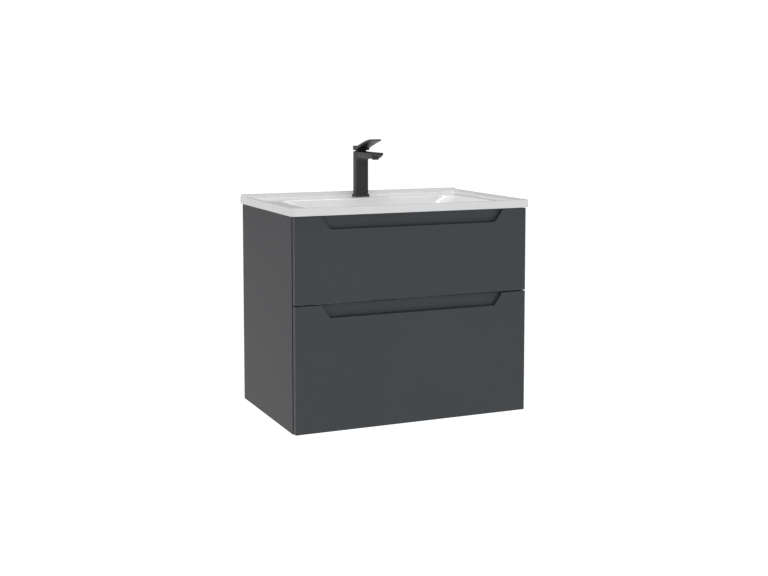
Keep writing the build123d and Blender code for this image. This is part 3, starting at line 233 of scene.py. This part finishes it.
def glazed_white():
    """White glaze: glossy, with faint slow drifts of tone and of gloss."""
    made = Shade("glazed_white", 0.12, Specular_IOR_Level=0.5, Coat_Weight=0.3, Coat_Roughness=0.08)
    cloud = made.noise(4.0, 1.0)
    made.colour(made.blend(made.spread(cloud, 0.0, 1.0), (0.862, 0.862, 0.862), (0.874, 0.874, 0.874)))
    made.roughen(made.spread(made.noise(6.0), 0.11, 0.13))
    return made.material


def sealant():
    """Milky silicone."""
    made = Shade("sealant", 0.32, Subsurface_Weight=0.3)
    made.surface.inputs["Subsurface Radius"].default_value = (0.002, 0.002, 0.002)
    cloud = made.noise(300.0, 2.0)
    made.colour(made.blend(made.spread(cloud, 0.0, 1.0), (0.60, 0.60, 0.59), (0.72, 0.72, 0.71)))
    made.bump(cloud, 0.1 * MM)
    return made.material


def black_rubber():
    made = Shade("black_rubber", 0.65, Specular_IOR_Level=0.35)
    grain = made.noise(900.0, 3.0)
    made.colour(made.blend(made.spread(grain, 0.0, 1.0), (0.012, 0.012, 0.012), (0.035, 0.035, 0.036)))
    made.roughen(made.spread(grain, 0.55, 0.75))
    made.bump(grain, 0.06 * MM)
    return made.material


def soft_pad():
    """Clear self-adhesive pad, slightly cloudy."""
    made = Shade("soft_pad", 0.25, Transmission_Weight=0.35, IOR=1.45)
    cloud = made.noise(500.0, 2.0)
    made.colour(made.blend(made.spread(cloud, 0.0, 1.0), (0.66, 0.66, 0.65), (0.80, 0.80, 0.79)))
    made.bump(cloud, 0.04 * MM)
    return made.material


def chrome():
    """Polished chrome with hairline polishing marks."""
    made = Shade("chrome", 0.06, metallic=1.0)
    marks = made.noise(1.0, 3.0, made.stretched((400.0, 3000.0, 400.0)))
    made.colour(made.blend(made.spread(marks, 0.0, 1.0), (0.74, 0.75, 0.77), (0.82, 0.82, 0.84)))
    made.roughen(made.spread(marks, 0.04, 0.12))
    made.bump(marks, 0.003 * MM)
    return made.material


def black_finish():
    """Satin black coating on brass: a fine powdery grain that breaks up the highlights."""
    made = Shade("black_finish", 0.42, Specular_IOR_Level=0.45)
    grain = made.noise(1800.0, 3.0)
    drift = made.noise(25.0, 2.0)
    tone = made.blend(made.spread(drift, 0.0, 1.0), (0.029, 0.029, 0.0292), (0.034, 0.034, 0.0343))
    made.colour(made.blend(made.spread(grain, 0.0, 0.5), tone, (0.040, 0.040, 0.0405)))
    made.roughen(made.spread(made.noise(300.0), 0.38, 0.46))
    made.bump(grain, 0.012 * MM)
    return made.material


def bare_brass():
    """Machined brass with turning lines."""
    made = Shade("bare_brass", 0.3, metallic=1.0)
    lines = made.noise(1.0, 2.0, made.stretched((200.0, 200.0, 4000.0)))
    made.colour(made.blend(made.spread(lines, 0.0, 1.0), (0.62, 0.45, 0.20), (0.80, 0.62, 0.33)))
    made.roughen(made.spread(lines, 0.22, 0.40))
    made.bump(lines, 0.02 * MM)
    return made.material


def moulded(name, dark, light):
    """Matt moulded plastic with a fine spark-eroded texture."""
    made = Shade(name, 0.5, Specular_IOR_Level=0.45)
    grain = made.noise(1500.0, 2.0)
    made.colour(made.blend(made.spread(grain, 0.0, 1.0), dark, light))
    made.roughen(made.spread(grain, 0.45, 0.62))
    made.bump(grain, 0.03 * MM)
    return made.material


MATERIALS = {
    "front_paint": front_paint(),
    "carcass_board": carcass_board(),
    "drawer_board": drawer_board(),
    "beech": beech(),
    "cast_zinc": cast_zinc(),
    "zinc_steel": zinc_steel(),
    "runner_steel": runner_steel(),
    "white_plastic": white_plastic(),
    "glazed_white": glazed_white(),
    "sealant": sealant(),
    "black_rubber": black_rubber(),
    "soft_pad": soft_pad(),
    "chrome": chrome(),
    "black_finish": black_finish(),
    "bare_brass": bare_brass(),
    "cartridge_plastic": moulded("cartridge_plastic", (0.42, 0.43, 0.45), (0.55, 0.56, 0.58)),
    "aerator_plastic": moulded("aerator_plastic", (0.020, 0.020, 0.021), (0.045, 0.045, 0.047)),
}

for subpart in frame["record"]["subparts"]:
    node = frame["nodes"][subpart["node"]]
    node.data.materials.clear()
    node.data.materials.append(MATERIALS[subpart["material_slot"]])


# ---- mesh kit ---------------------------------------------------------------------------------
# points on each rounded corner and stretch of a ring seen from above, and on a round ring
RING_ARC = 8
RING_SIDE = 10
DISC_COUNT = 48
# a rounding takes at most this share of the line on either side of it
REACH_SHARE = 0.48
NORMAL_WEIGHT = 100
# edges sharper than this many degrees stay crisp
GLAZE_EDGE = 30
METAL_EDGE = 32


def mesh_object(name, vertices, faces):
    mesh = bpy.data.meshes.new(name)
    mesh.from_pydata(vertices, [], faces)
    made = bpy.data.objects.new(name, mesh)
    SCENE.collection.objects.link(made)
    return made


def loft(name, rings, closed=False):
    """Skin a list of equally long rings of points; ends are capped unless the rings close up."""
    count = len(rings[0])
    vertices = [point for ring in rings for point in ring]
    faces = []
    pairs = list(zip(range(len(rings)), range(1, len(rings))))
    if closed:
        pairs.append((len(rings) - 1, 0))
    for first, second in pairs:
        for k in range(count):
            after = (k + 1) % count
            faces.append((first * count + k, first * count + after,
                          second * count + after, second * count + k))
    if not closed:
        faces.append(tuple(reversed(range(count))))
        faces.append(tuple(range((len(rings) - 1) * count, len(rings) * count)))
    made = mesh_object(name, vertices, faces)
    outward(made)
    return made


def outward(piece):
    """Point all faces of a closed mesh outwards."""
    shape = bmesh.new()
    shape.from_mesh(piece.data)
    bmesh.ops.recalc_face_normals(shape, faces=shape.faces)
    shape.to_mesh(piece.data)
    shape.free()


def settle(piece):
    """Apply the modifiers of a piece to its mesh."""
    evaluated = piece.evaluated_get(bpy.context.evaluated_depsgraph_get())
    final = bpy.data.meshes.new_from_object(evaluated)
    piece.modifiers.clear()
    piece.data = final


def combine(piece, tool, operation):
    """Join a tool to the piece, or cut it out, and drop the tool."""
    modifier = piece.modifiers.new("boolean", "BOOLEAN")
    modifier.object = tool
    modifier.operation = operation
    modifier.solver = "EXACT"
    bpy.context.view_layer.update()
    settle(piece)
    bpy.data.objects.remove(tool)


def smooth(piece, angle):
    """Smooth shading that keeps edges sharper than the angle."""
    for polygon in piece.data.polygons:
        polygon.use_smooth = True
    piece.data.set_sharp_from_angle(angle=math.radians(angle))
    modifier = piece.modifiers.new("weighted normals", "WEIGHTED_NORMAL")
    modifier.keep_sharp = True
    modifier.weight = NORMAL_WEIGHT
    bpy.context.view_layer.update()
    settle(piece)


def finished(piece, slot, body, *nodes):
    """Give a piece its material, its body and the CAD nodes that it stands for."""
    piece.data.materials.clear()
    piece.data.materials.append(MATERIALS[slot])
    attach(piece, body)
    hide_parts(*nodes)


def rounded_rectangle(half, front, back, radius, z, side=RING_SIDE):
    """A ring seen from above, anticlockwise from the right front corner."""
    ring = []
    middle_x = half - radius
    corners = ((middle_x, front + radius, -90), (middle_x, back - radius, 0),
               (-middle_x, back - radius, 90), (-middle_x, front + radius, 180))
    for index, (x, y, start) in enumerate(corners):
        for k in range(RING_ARC + 1):
            angle = math.radians(start + 90 * k / RING_ARC)
            ring.append(Vector((x + radius * math.cos(angle), y + radius * math.sin(angle), z)))
        next_x, next_y, next_start = corners[(index + 1) % 4]
        turn = math.radians(next_start)
        target = Vector((next_x + radius * math.cos(turn), next_y + radius * math.sin(turn), z))
        last = ring[-1]
        ring.extend(last.lerp(target, k / side) for k in range(1, side))
    return ring


def disc(centre, radius, z, like=None):
    """A round ring; with like, its points stand at the same angles as another ring's."""
    if like is None:
        angles = [2 * math.pi * k / DISC_COUNT for k in range(DISC_COUNT)]
    else:
        angles = [math.atan2(p.y - centre[1], p.x - centre[0]) for p in like]
    return [Vector((centre[0] + radius * math.cos(a), centre[1] + radius * math.sin(a), z)) for a in angles]


def cylinder_along_y(centre, radius, length):
    """A closed cylinder whose axis runs along Y from its centre point."""
    rings = []
    for y in (centre[1], centre[1] + length):
        rings.append([Vector((centre[0] + p.x, y, centre[2] + p.y)) for p in disc((0, 0), radius, 0)])
    return loft("cutter", rings)


def cylinder_along_z(centre, radius, low, high):
    return loft("cutter", [disc(centre, radius, z) for z in (low, high)])


def between(name, low, high):
    """A box between two opposite corners."""
    return loft(name, [[Vector((low.x, low.y, z)), Vector((high.x, low.y, z)), Vector((high.x, high.y, z)),
                        Vector((low.x, high.y, z))] for z in (low.z, high.z)])


def profile_along_x(name, outline, half):
    """A closed prism with a YZ outline, reaching as far to the left as to the right."""
    return loft(name, [[Vector((x, y, z)) for y, z in outline] for x in (-half, half)])


def part_way(first, second, share):
    """The number tuple that lies this share of the way between two others."""
    return [a + (b - a) * share for a, b in zip(first, second)]


def eased(step, steps):
    """How far, from 0 to 1, a quarter circle has come after that many of its steps."""
    return 1 - math.cos(math.pi / 2 * step / steps)


def rounded_path(keys, steps=6):
    """Number tuples with every inner one rounded off by its last number, a reach in metres."""
    path = [keys[0][:-1]]
    for before, here, after in zip(keys, keys[1:], keys[2:]):
        reach = here[-1]
        if not reach:
            path.append(here[:-1])
            continue
        ends = []
        for other in (before, after):
            length = math.dist(here[:-1], other[:-1])
            share = min(reach / length, REACH_SHARE)
            ends.append(part_way(here[:-1], other[:-1], share))
        for k in range(steps + 1):
            t = k / steps
            path.append([(1 - t) ** 2 * a + 2 * t * (1 - t) * c + t * t * b
                         for a, c, b in zip(ends[0], here[:-1], ends[1])])
    path.append(keys[-1][:-1])
    return path


# ---- basin ------------------------------------------------------------------------------------
HALF = BASIN_HIGH.x
FRONT = BASIN_LOW.y
BACK = BASIN_HIGH.y
TOP = BASIN_HIGH.z - 4.5 * MM
DECK = TOP - 7 * MM
UNDER = TOP - 21.5 * MM
UPSTAND = BASIN_HIGH.z - TOP
BOSS = BASIN_LOW.z
FLOOR = BOSS + 27.5 * MM


def basin_ring(half, front, back, radius, z, rise):
    """A ring of the basin; rise lifts its rear stretch to the upstand."""
    ring = rounded_rectangle(half, front, back, radius, z)
    corner = RING_ARC + RING_SIDE
    start, stop = corner + RING_ARC // 2, 2 * corner + RING_ARC - RING_ARC // 2
    for point in ring[start:stop + 1]:
        point.z += rise * UPSTAND
    return ring


def build_basin():
    # half width, front, back, corner radius, height, rise, reach of the rounding
    keys = (
        (160 * MM, FRONT + 102 * MM, BACK - 195 * MM, 50 * MM, FLOOR + 0.5 * MM, 0, 0),
        (190 * MM, FRONT + 72 * MM, BACK - 165 * MM, 50 * MM, FLOOR, 0, 26 * MM),
        (212 * MM, FRONT + 59 * MM, BACK - 149 * MM, 46 * MM, FLOOR + 50.5 * MM, 0, 20 * MM),
        (246 * MM, FRONT + 49 * MM, BACK - 137 * MM, 42 * MM, DECK - 22.5 * MM, 0, 16 * MM),
        (288 * MM, FRONT + 42 * MM, BACK - 132 * MM, 38 * MM, DECK, 0, 8 * MM),
        (HALF - 12.5 * MM, FRONT + 12.5 * MM, BACK - 15.5 * MM, 9 * MM, DECK, 0, 3 * MM),
        (HALF - 11.5 * MM, FRONT + 11.5 * MM, BACK - 15 * MM, 9 * MM, TOP, 1, 2.5 * MM),
        (HALF, FRONT, BACK, 13 * MM, TOP, 1, 4 * MM),
        (HALF, FRONT, BACK, 13 * MM, UNDER, 0, 2 * MM),
        (HALF - 38 * MM, FRONT + 38 * MM, BACK - 28 * MM, 6 * MM, UNDER, 0, 1 * MM),
        (HALF - 38 * MM, FRONT + 38 * MM, BACK - 28 * MM, 6 * MM, DECK - 9 * MM, 0, 1 * MM),
        (286 * MM, FRONT + 39 * MM, BACK - 124 * MM, 44 * MM, DECK - 9 * MM, 0, 3 * MM),
        (255 * MM, FRONT + 40 * MM, BACK - 128 * MM, 51 * MM, DECK - 22.5 * MM, 0, 6 * MM),
        (221 * MM, FRONT + 50 * MM, BACK - 140 * MM, 55 * MM, FLOOR + 50.5 * MM, 0, 10 * MM),
        (199 * MM, FRONT + 63 * MM, BACK - 156 * MM, 59 * MM, FLOOR - 9 * MM, 0, 18 * MM),
        (160 * MM, FRONT + 102 * MM, BACK - 195 * MM, 50 * MM, FLOOR - 9 * MM, 0, 0),
    )
    rings = [basin_ring(*key) for key in rounded_path(keys)]
    guide = rings[0]
    drain = (0, DRAIN_Y)
    # radius and height above the bowl's floor, in millimetres
    inner = [disc(drain, r * MM, FLOOR + z * MM, guide)
             for r, z in ((23, -27.5), (23, -3.4), (24, -2.6), (33, -2.5), (34.2, -1.6), (35.5, 0))]
    outer = [disc(drain, r * MM, FLOOR + z * MM, guide)
             for r, z in ((46, -9), (39, -12), (38, -16), (38, -26), (36.5, -27.5))]
    return loft("basin_shell", inner + rings + outer, closed=True)


def from_deck(*points):
    """Outline points in millimetres, measured from the wall and up from the basin's deck."""
    return [(BACK + y * MM, DECK + z * MM) for y, z in points]


# The overflow: a round hole in the rear wall of the bowl and a duct down to the drain.
DUCT_OUTER = from_deck((-132.5, -12.5), (-106, -12.5), (-106, -77.5), (-148, -140.2), (-262, -140.2),
                       (-262, -118.5), (-166, -117.5))
DUCT_INNER = from_deck((-127, -19.5), (-113, -19.5), (-113, -75.5), (-151, -133.5), (-262, -133.5),
                       (-262, -123.5), (-155.5, -123.5))
DUCT_OUTER_HALF = 21 * MM
DUCT_INNER_HALF = 14 * MM
OVERFLOW_START = (0, BACK - 165 * MM, DECK - 38.5 * MM)
OVERFLOW_RADIUS = 12 * MM
OVERFLOW_REACH = 45 * MM
TAP_HOLE_RADIUS = 17.5 * MM
TAP_HOLE_ENDS = (UNDER - 10 * MM, TOP + 10 * MM)

basin_shell = build_basin()
combine(basin_shell, profile_along_x("duct", DUCT_OUTER, DUCT_OUTER_HALF), "UNION")
combine(basin_shell, profile_along_x("duct_space", DUCT_INNER, DUCT_INNER_HALF), "DIFFERENCE")
combine(basin_shell, cylinder_along_y(OVERFLOW_START, OVERFLOW_RADIUS, OVERFLOW_REACH), "DIFFERENCE")
combine(basin_shell, cylinder_along_z((0, TAP_Y), TAP_HOLE_RADIUS, *TAP_HOLE_ENDS), "DIFFERENCE")
smooth(basin_shell, GLAZE_EDGE)
finished(basin_shell, "glazed_white", "cabinet", "basin")

# ---- tap --------------------------------------------------------------------------------------
TAP_FOOT = TAP_LOW.z
TAP_TOP = TAP_HIGH.z
COLUMN_HALF = 20 * MM
COLUMN_FRONT = TAP_Y - 15 * MM
COLUMN_BACK = TAP_Y + 15 * MM
COLUMN_FOOT = TAP_FOOT + 5.7 * MM
COLUMN_SIDE = 3
COLUMN_STEPS = 4
SPOUT_HALF = 19 * MM
SPOUT_LOW = TAP_TOP - 18.5 * MM
SPOUT_TIP = TAP_LOW.y
SPOUT_CORNER = 4 * MM
SPOUT_ROOT = 12 * MM
SPOUT_STRIDE = 20 * MM
SPOUT_EDGES = (0.9 * MM, 5 * MM)
THINNEST_NOSE = 0.8 * MM
# the spout's top lies this much below the column's, and its blend starts this much inside it
HAIR = 0.05 * MM
FINE_HAIR = 0.01 * MM
NOSE = 38 * MM
NOSE_STEPS = 24
BLEND = 10 * MM
BLEND_STEPS = 10
# points on a rounded edge of spout or lever, and how much of its section the edge may take
EDGE_ARC = 5
HEIGHT_SHARE = 0.45
WIDTH_SHARE = 0.9
# radii of the sockets, and their depths below the top or above the foot
CARTRIDGE_MOUTH = (12.6 * MM, 6 * MM)
CARTRIDGE_SOCKET = (12.05 * MM, 44 * MM)
AERATOR_SOCKET = (10.2 * MM, 9 * MM)
STUD_SOCKET = (4 * MM, 16 * MM)
# how far a cutter reaches past the face that it opens
SPARE = 1 * MM


def upright_ring(half, high, low, top_radius, low_radius):
    """A ring across the X direction between two YZ points, with rounded corners at each."""
    up = Vector((0, high[0] - low[0], high[1] - low[1]))
    height = up.length
    up.normalize()
    foot = Vector((0, *low))
    ring = []
    for side, radius, start in ((1, low_radius, -90), (1, top_radius, 0), (-1, top_radius, 90),
                                (-1, low_radius, 180)):
        radius = min(radius, height * HEIGHT_SHARE, half * WIDTH_SHARE)
        level = radius if start in (-90, 180) else height - radius
        for k in range(EDGE_ARC + 1):
            angle = math.radians(start + 90 * k / EDGE_ARC)
            across = side * (half - radius) + radius * math.cos(angle)
            ring.append(foot + Vector((across, 0, 0)) + up * (level + radius * math.sin(angle)))
    return ring


def spout_underside(y):
    """Height of the spout's underside: a soft blend at the column, a quarter ellipse at the nose."""
    if y > COLUMN_FRONT:
        return SPOUT_LOW - BLEND
    if y > COLUMN_FRONT - BLEND:
        return SPOUT_LOW - BLEND + math.sqrt(max(0.0, BLEND ** 2 - (COLUMN_FRONT - BLEND - y) ** 2))
    if y > SPOUT_TIP + NOSE:
        return SPOUT_LOW
    share = (SPOUT_TIP + NOSE - y) / NOSE
    return TAP_TOP - (TAP_TOP - SPOUT_LOW) * math.sqrt(max(0.0, 1 - share ** 2))


def spout():
    """The flat spout, from inside the column to its rounded nose."""
    places = [COLUMN_FRONT + SPOUT_ROOT, COLUMN_FRONT + FINE_HAIR]
    places += [COLUMN_FRONT - BLEND * eased(k, BLEND_STEPS) for k in range(BLEND_STEPS + 1)]
    places += [COLUMN_FRONT - BLEND - SPOUT_STRIDE * k for k in range(1, 4)]
    places += [SPOUT_TIP + NOSE - NOSE * math.sin(math.pi / 2 * k / NOSE_STEPS) for k in range(NOSE_STEPS)]
    rings = []
    for y in places:
        inset = max(0.0, SPOUT_TIP + SPOUT_CORNER - y)
        half = SPOUT_HALF - SPOUT_CORNER + math.sqrt(max(0.0, SPOUT_CORNER ** 2 - inset ** 2))
        top = TAP_TOP - HAIR
        low = min(spout_underside(y), top - THINNEST_NOSE)
        rings.append(upright_ring(half, (y, top), (y, low), *SPOUT_EDGES))
    return loft("spout", rings)


def build_tap():
    # half width, front, back, corner radius, height, reach of the rounding
    keys = (
        (23.75 * MM, TAP_Y - 18.5 * MM, TAP_Y + 18.5 * MM, 7 * MM, TAP_FOOT, 0),
        (23.75 * MM, TAP_Y - 18.5 * MM, TAP_Y + 18.5 * MM, 7 * MM, COLUMN_FOOT, 2.2 * MM),
        (COLUMN_HALF, COLUMN_FRONT, COLUMN_BACK, 5 * MM, COLUMN_FOOT, 0.5 * MM),
        (COLUMN_HALF, COLUMN_FRONT, COLUMN_BACK, 5 * MM, TAP_TOP, 0.8 * MM),
        (COLUMN_HALF - 4 * MM, COLUMN_FRONT + 4 * MM, COLUMN_BACK - 4 * MM, 3 * MM, TAP_TOP, 0),
    )
    rings = [rounded_rectangle(*key, side=COLUMN_SIDE) for key in rounded_path(keys, COLUMN_STEPS)]
    tap = loft("tap_shell", rings)
    combine(tap, spout(), "UNION")
    mouth, mouth_depth = CARTRIDGE_MOUTH
    socket, socket_depth = CARTRIDGE_SOCKET
    aerator, aerator_roof = AERATOR_SOCKET
    stud, stud_depth = STUD_SOCKET
    cutters = (
        cylinder_along_z((0, TAP_Y), mouth, TAP_TOP - mouth_depth, TAP_TOP + SPARE),
        cylinder_along_z((0, TAP_Y), socket, TAP_TOP - socket_depth, TAP_TOP - mouth_depth + SPARE),
        cylinder_along_z((0, AERATOR_Y), aerator, SPOUT_LOW - aerator_roof, TAP_TOP - aerator_roof),
        cylinder_along_z((0, STUD_Y), stud, TAP_FOOT - SPARE, TAP_FOOT + stud_depth),
        between("hose_pocket", BLOCK_LOW - Vector((0, 0, SPARE)), BLOCK_HIGH),
    )
    for cutter in cutters:
        combine(tap, cutter, "DIFFERENCE")
    return tap


tap_shell = build_tap()
smooth(tap_shell, METAL_EDGE)
finished(tap_shell, "black_finish", "cabinet", "tap_body")

# ---- lever ------------------------------------------------------------------------------------
LEVER_HALF = LEVER_HIGH.x
CAP_FOOT = LEVER_LOW.z
CAP_BACK = LEVER_HIGH.y
TIP_CORNER = 8 * MM
TIP_STEPS = 10
CAP_CORNER = 3 * MM
CAP_STEPS = 6
CAP_HEIGHT = 13.5 * MM
CAP_LENGTH = 31 * MM
CAP_SPACE_HALF = 16.3 * MM
CAP_SPACE_FRONT = CAP_BACK - 28 * MM
CAP_SPACE_BACK = CAP_BACK - 3 * MM
CAP_SPACE_ROOF = CAP_FOOT + 9.5 * MM
LEVER_STEPS = 8
LEVER_EDGES = (1.2 * MM, 0.8 * MM)
BLADE_TIP = (LEVER_LOW.y + 1.2 * MM, LEVER_HIGH.z - 0.5 * MM)


def lever_half(y, tip):
    """Half width in plan: rounded at the tip and, less so, at the cap's back."""
    inset = max(0.0, tip + TIP_CORNER - y)
    from_back = max(0.0, y - (CAP_BACK - CAP_CORNER))
    at_tip = TIP_CORNER - math.sqrt(max(0.0, TIP_CORNER ** 2 - inset ** 2))
    at_back = CAP_CORNER - math.sqrt(max(0.0, CAP_CORNER ** 2 - from_back ** 2))
    return LEVER_HALF - at_tip - at_back


def lever_stations():
    """Upper and lower YZ points along the lever, with the concave root below the blade."""
    # upper point, lower point, reach of the rounding
    keys = [
        (CAP_BACK, CAP_FOOT + CAP_HEIGHT, CAP_BACK, CAP_FOOT, 0),
        (CAP_BACK - CAP_LENGTH, CAP_FOOT + CAP_HEIGHT, CAP_BACK - 33.5 * MM, CAP_FOOT, 1.5 * MM),
        (CAP_BACK - 39 * MM, CAP_FOOT + 15.3 * MM, CAP_BACK - 38 * MM, CAP_FOOT + 7.2 * MM, 4 * MM),
        (CAP_BACK - 60 * MM, CAP_FOOT + 21.5 * MM, CAP_BACK - 60 * MM, CAP_FOOT + 13.4 * MM, 9 * MM),
        (CAP_BACK - 96 * MM, CAP_FOOT + 31 * MM, CAP_BACK - 96 * MM, CAP_FOOT + 24.5 * MM, 20 * MM),
        (BLADE_TIP[0], BLADE_TIP[1], BLADE_TIP[0] - 1.2 * MM, BLADE_TIP[1] - 3.8 * MM, 0),
    ]
    path = rounded_path(keys, LEVER_STEPS)
    first, last = path[0], path[-1]
    length = math.dist(path[-2][:2], last[:2])
    back = [part_way(first, path[1], CAP_CORNER * eased(k, CAP_STEPS) / CAP_LENGTH)
            for k in range(1, CAP_STEPS + 1)]
    front = [part_way(last, path[-2], TIP_CORNER * eased(k, TIP_STEPS) / length)
             for k in range(TIP_STEPS, 0, -1)]
    return [first, *back, *path[1:-1], *front, last]


def build_lever():
    stations = lever_stations()
    tip = stations[-1][0]
    rings = []
    for top_y, top_z, low_y, low_z in stations:
        half = lever_half(top_y, tip)
        rings.append(upright_ring(half, (top_y, top_z), (low_y, low_z), *LEVER_EDGES))
    lever = loft("lever_shell", rings)
    low = Vector((-CAP_SPACE_HALF, CAP_SPACE_FRONT, CAP_FOOT - SPARE))
    high = Vector((CAP_SPACE_HALF, CAP_SPACE_BACK, CAP_SPACE_ROOF))
    combine(lever, between("cap_space", low, high), "DIFFERENCE")
    return lever


lever_shell = build_lever()
smooth(lever_shell, METAL_EDGE)
finished(lever_shell, "black_finish", "lever", "tap_lever")

# ---- staging ----------------------------------------------------------------------------------
FLOOR_BELOW_RIM = 0.85
STUDIO_LIGHT = 0.29
FLOOR_GLOW = 0.85
FLOOR_REACH = 30.0
FLOOR_LEVEL = TOP - FLOOR_BELOW_RIM
CAMERA_PLACE = (-1.4064, -3.4686, 0.355)
CAMERA_YAW = 23.615
CAMERA_DROP = 4.90
CAMERA_LENS = 56.83
CAMERA_SENSOR = 36.0
CAMERA_SHIFT = -0.11


def seen_by_camera(tree, socket, otherwise):
    """Full strength to the camera, and less to everything that it lights."""
    seen = tree.nodes.new("ShaderNodeLightPath")
    strength = tree.nodes.new("ShaderNodeMapRange")
    tree.links.new(seen.outputs["Is Camera Ray"], strength.inputs["Value"])
    strength.inputs["To Min"].default_value = otherwise
    tree.links.new(strength.outputs["Result"], socket)


def pale_floor():
    made = Shade("pale_floor", 0.7, Specular_IOR_Level=0.1)
    cloud = made.noise(1.5, 2.0)
    made.colour(made.blend(made.spread(cloud, 0.0, 1.0), (0.20, 0.20, 0.20), (0.22, 0.22, 0.22)))
    made.surface.inputs["Emission Color"].default_value = (1.0, 1.0, 1.0, 1.0)
    seen_by_camera(made.tree, made.surface.inputs["Emission Strength"], FLOOR_GLOW)
    return made.material


floor_corners = [(x * FLOOR_REACH, y * FLOOR_REACH, FLOOR_LEVEL)
                 for x, y in ((-1, -1), (1, -1), (1, 1), (-1, 1))]
floor = mesh_object("floor", floor_corners, [(0, 1, 2, 3)])
floor.data.materials.append(pale_floor())


def area_light(name, place, target, size, power):
    data = bpy.data.lights.new(name, "AREA")
    data.shape = "RECTANGLE"
    data.size, data.size_y = size
    data.energy = power
    light = bpy.data.objects.new(name, data)
    SCENE.collection.objects.link(light)
    light.location = place
    light.rotation_euler = (Vector(target) - Vector(place)).to_track_quat("-Z", "Y").to_euler()
    light.visible_camera = False


area_light("front", place=(-0.4, -2.8, 2.2), target=(0, -0.2, 0), size=(2.4, 1.4), power=14.0)
area_light("top", place=(0.0, -0.6, 2.6), target=(0, -0.25, 0), size=(2.0, 0.9), power=50.0)

world = bpy.data.worlds.new("studio")
SCENE.world = world
world.use_nodes = True
background = world.node_tree.nodes["Background"]
background.inputs["Color"].default_value = (1.0, 1.0, 1.0, 1.0)
seen_by_camera(world.node_tree, background.inputs["Strength"], STUDIO_LIGHT)
SCENE.view_settings.view_transform = "Standard"

camera_data = bpy.data.cameras.new("camera")
camera_data.lens = CAMERA_LENS
camera_data.sensor_width = CAMERA_SENSOR
camera_data.shift_y = CAMERA_SHIFT
camera = bpy.data.objects.new("camera", camera_data)
SCENE.collection.objects.link(camera)
camera.location = CAMERA_PLACE
camera.rotation_euler = (math.radians(90 - CAMERA_DROP), 0, math.radians(-CAMERA_YAW))
SCENE.camera = camera
